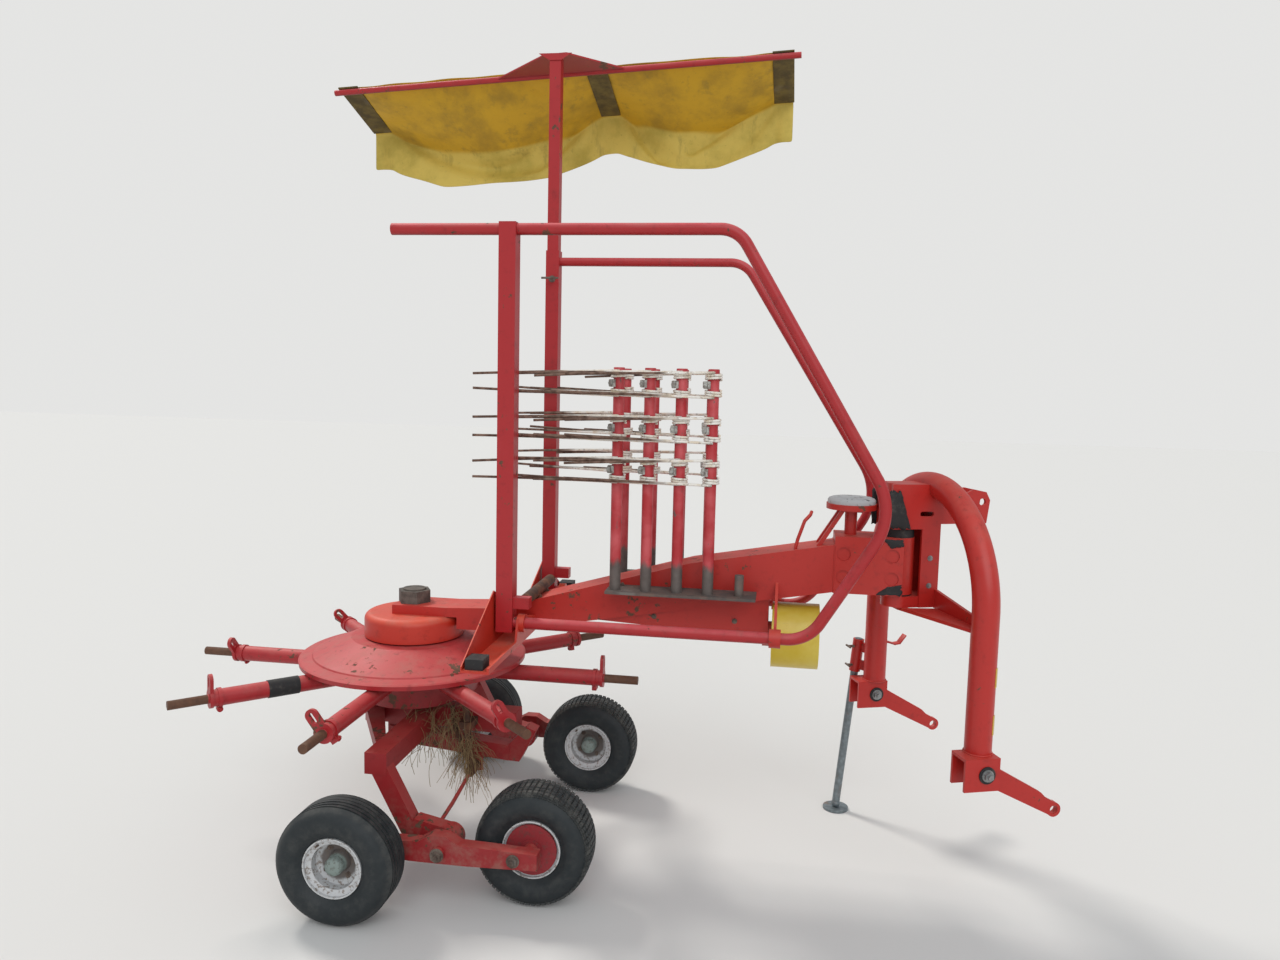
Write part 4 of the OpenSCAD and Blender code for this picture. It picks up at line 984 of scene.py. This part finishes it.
random.seed(23)
HANGERS = [(0.262, -0.100, 0.40, 0.035), (0.10, -0.16, 0.490, 0.09), (0.262, -0.09, 0.34, 0.030),
    (0.20, -0.10, 0.50, 0.06)]
wisps = []
for _ in range(240):
    x, y, z, spread = random.choice(HANGERS)
    spot = at(x, y, z) + Vector([random.gauss(0, spread * 0.5) for _ in range(3)])
    heading = Vector((random.uniform(-1, 1), random.uniform(-1, 1), random.uniform(-0.8, 0.3)))
    path = [spot.copy()]
    for _ in range(random.randint(5, 10)):
        heading += Vector((random.uniform(-0.6, 0.6), random.uniform(-0.6, 0.6),
            random.uniform(-0.8, 0.1)))
        spot = spot + heading.normalized() * 0.019
        path.append(spot.copy())
    wisps.append(path)
wires("grass_tangle", wisps, 0.0009, straw_paint(), "chassis", 0)

# %% [markdown]
# Welds show at every joint of the frame. A bead is a bent wire along the joint with a small ripple
# across it, so its surface looks like laid drops. The table holds closed or open lines of corners.

# %% Weld beads
def bead(corners, closed=True):
    """Points every 4 mm along the corners, each a little off the line."""
    path = []
    ends = corners[1:] + corners[:1] if closed else corners[1:]
    for start, end in zip(corners, ends):
        steps = max(2, int((end - start).length / 0.004))
        for k in range(steps):
            ripple = Vector((0, 0, 0.0007 * (-1) ** k))
            path.append(start.lerp(end, k / steps) + ripple)
    return path + [corners[0] if closed else corners[-1]]


def ring(centre, radius, across, upward, sides=40):
    return [centre + across * (radius * math.cos(k * math.tau / sides))
        + upward * (radius * math.sin(k * math.tau / sides)) for k in range(sides)]


head_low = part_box("beam_head")[0]
beam_front = [Vector((head_low.x, y, z)) for y, z in (
    (-0.080, 1.049), (-0.080, 1.221), (0.080, 1.221), (0.080, 1.049))]
wires("beam_welds", [bead(beam_front)], 0.0028, beam_paint, "chassis", 1)
leg_welds = []
for side_y in (-1, 1):
    root = Vector((0, side_y * 0.0405, 0))
    leg_welds.append(bead([root + at(x, 0, z) for x, z in (
        (0.030, 0.420), (0.030, 0.496), (0.110, 0.496), (0.110, 0.420))]))
wires("chassis_welds", leg_welds, 0.0026, chassis_paint, "chassis", 1)
hoop_welds = []
forward = on_headstock(1, 0, 0) - on_headstock(0, 0, 0)
leftward = on_headstock(0, 1, 0) - on_headstock(0, 0, 0)
for left in (-0.392, 0.392):
    hoop_welds.append(bead(ring(on_headstock(HOOP_X, left, LINK_Z + 0.0565), 0.0455, forward,
        leftward)))
    inner = 1 if left < 0 else -1
    hoop_welds.append(bead([on_headstock(HOOP_X - 0.030, left + inner * 0.034, 1.001),
        on_headstock(HOOP_X, left + inner * 0.046, 1.001),
        on_headstock(HOOP_X + 0.030, left + inner * 0.034, 1.001)], False))
wires("headstock_welds", hoop_welds, 0.0030, headstock_paint, "headstock", 1)

# %% [markdown]
# Black rubber lips close the gap between the beam's head and the headstock. They are torn and
# bulge a little, so each is a grid whose points are moved by small random steps. Two short rubber
# boots close the kingpin.

# %% Rubber lips at the swivel
def rubber_lip(bm, corners, thick, rough):
    """A ragged slab between the four corners, thicker in the middle."""
    a, b, c, d = corners
    across = (b - a).cross(d - a).normalized()
    rows = []
    for i in range(13):
        row = []
        for j in range(9):
            u, w = i / 12, j / 8
            spot = a.lerp(b, u).lerp(d.lerp(c, u), w)
            rim = min(u, 1 - u, w, 1 - w)
            spot += (c - a).normalized() * random.uniform(-rough, rough) * (0.3 if rim else 1.0)
            row.append(bm.verts.new(spot + across * thick * (0.35 + 1.3 * min(rim, 0.3))))
        rows.append(row)
    for first, second in zip(rows, rows[1:]):
        for j in range(8):
            bm.faces.new((first[j], first[j + 1], second[j + 1], second[j]))


random.seed(5)
bm = bmesh.new()
for left in (-0.0615, 0.0615):
    rubber_lip(bm, [on_headstock(-0.078, left, 1.424), on_headstock(-0.034, left, 1.420),
        on_headstock(0.008, left, 1.288), on_headstock(-0.080, left, 1.290)],
        math.copysign(0.012, left), 0.006)
lips = piece("swivel_lips", bm, pad_rubber, "headstock", 60, False)
lip_body = lips.modifiers.new("lip_thickness", "SOLIDIFY")
lip_body.thickness = 0.006
lip_body.offset = 0

bm = bmesh.new()
for side_y in (-1, 1):
    edge = side_y * 0.081
    rubber_lip(bm, [at(1.758, edge, 1.0480), at(1.848, edge, 1.0480), at(1.848, edge, 1.088),
        at(1.796, edge, 1.078)], 0.006 * side_y, 0.005)
    rubber_lip(bm, [at(1.778, edge, 1.2500), at(1.848, edge, 1.2500), at(1.848, edge, 1.226),
        at(1.806, edge, 1.218)], 0.006 * side_y, 0.004)
for radius, low, high in ((0.052, 1.2525, 1.281), (0.052, 1.0405, 1.0455)):
    add_rod(bm, at(KINGPIN_X, 0, low), at(KINGPIN_X, 0, high), radius, 40)
patches = piece("head_rubber_patches", bm, pad_rubber, "chassis", 60, False)
patch_body = patches.modifiers.new("patch_thickness", "SOLIDIFY")
patch_body.thickness = 0.004

# %% [markdown]
# Small working parts finish the machine: the lock screw with its bar on the outer post, the
# handle and pins on the stand's guide, the draw link from the height spindle to the right leg, the
# splines of the drive shaft, and the paint-worn handle on the beam's top.

# %% Handles, links and splines
bm = bmesh.new()
screw = at(0.475, 0.2535, 2.185)
add_bolt(bm, screw, -Y, 0.011)
add_rod(bm, screw - Y * 0.012, screw - Y * 0.040, 0.0055, 16)
add_rod(bm, screw - Y * 0.040 - X * 0.034, screw - Y * 0.040 + X * 0.034, 0.0042, 14)
piece("post_lock_screw", bm, bolt_steel, "guard_left", 35)

bm = bmesh.new()
guide_low, guide_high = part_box("stand_guide")
guide_middle = (guide_low + guide_high) / 2
back = on_headstock(-1, 0, 0) - on_headstock(0, 0, 0)
for height in (guide_high.z - 0.030, guide_low.z + 0.030):
    pin = Vector((guide_middle.x, guide_middle.y, height)) + back * 0.020
    add_rod(bm, pin, pin + back * 0.026, 0.0055, 14)
    add_rod(bm, pin + back * 0.026 - leftward * 0.020, pin + back * 0.026 + leftward * 0.020,
        0.0042, 14)
piece("stand_pins", bm, bolt_steel, "headstock", 35)

link_paths = [[at(0.262, -0.100, 0.285), at(0.262, -0.105, 0.262), at(0.266, -0.300, 0.235),
    at(0.270, -0.480, 0.222), at(0.282, -0.498, 0.214)]]
wires("draw_link", link_paths, 0.0075, chassis_paint, "chassis", 3)
lever_paths = [[at(0.175, -0.048, 0.510), at(0.180, -0.062, 0.470), at(0.205, -0.070, 0.400),
    at(0.226, -0.068, 0.340), at(0.258, -0.064, 0.300)]]
wires("side_lever", lever_paths, 0.0085, rust, "chassis", 3)

bm = bmesh.new()
for k in range(6):
    turn = Matrix.Rotation(k * math.tau / 6, 4, "X")
    lift = (turn @ Vector((0, 0, 0.0172, 0))).to_3d()
    add_block(bm, at(1.456, 0, 0.862) + lift, (0.082, 0.0072, 0.0046), turn, 0.0006)
add_rod(bm, at(1.4035, 0, 0.862), at(1.411, 0, 0.862), 0.0235, 32, 0.0215)
piece("shaft_splines", bm, worn_steel, "chassis", 35)

handle = [[at(1.470, -0.058, 1.196), at(1.478, -0.060, 1.232), at(1.500, -0.060, 1.300)],
    [at(1.500, -0.060, 1.300), at(1.520, -0.052, 1.322), at(1.524, -0.030, 1.330)]]
wires("beam_handle", [handle[0] + handle[1][1:]], 0.0065, beam_paint, "chassis",
    3)

# %% [markdown]
# A pale floor under the machine catches its shadow.

# %% Floor
bm = bmesh.new()
bmesh.ops.create_grid(bm, x_segments=1, y_segments=1, size=30)
floor_mesh = bpy.data.meshes.new("floor")
bm.to_mesh(floor_mesh)
bm.free()
floor = bpy.data.objects.new("floor", floor_mesh)
bpy.context.scene.collection.objects.link(floor)
floor_paint = Paint("floor")
floor_mesh.materials.append(floor_paint.set(Base_Color=(0.67, 0.67, 0.66), Roughness=0.9))
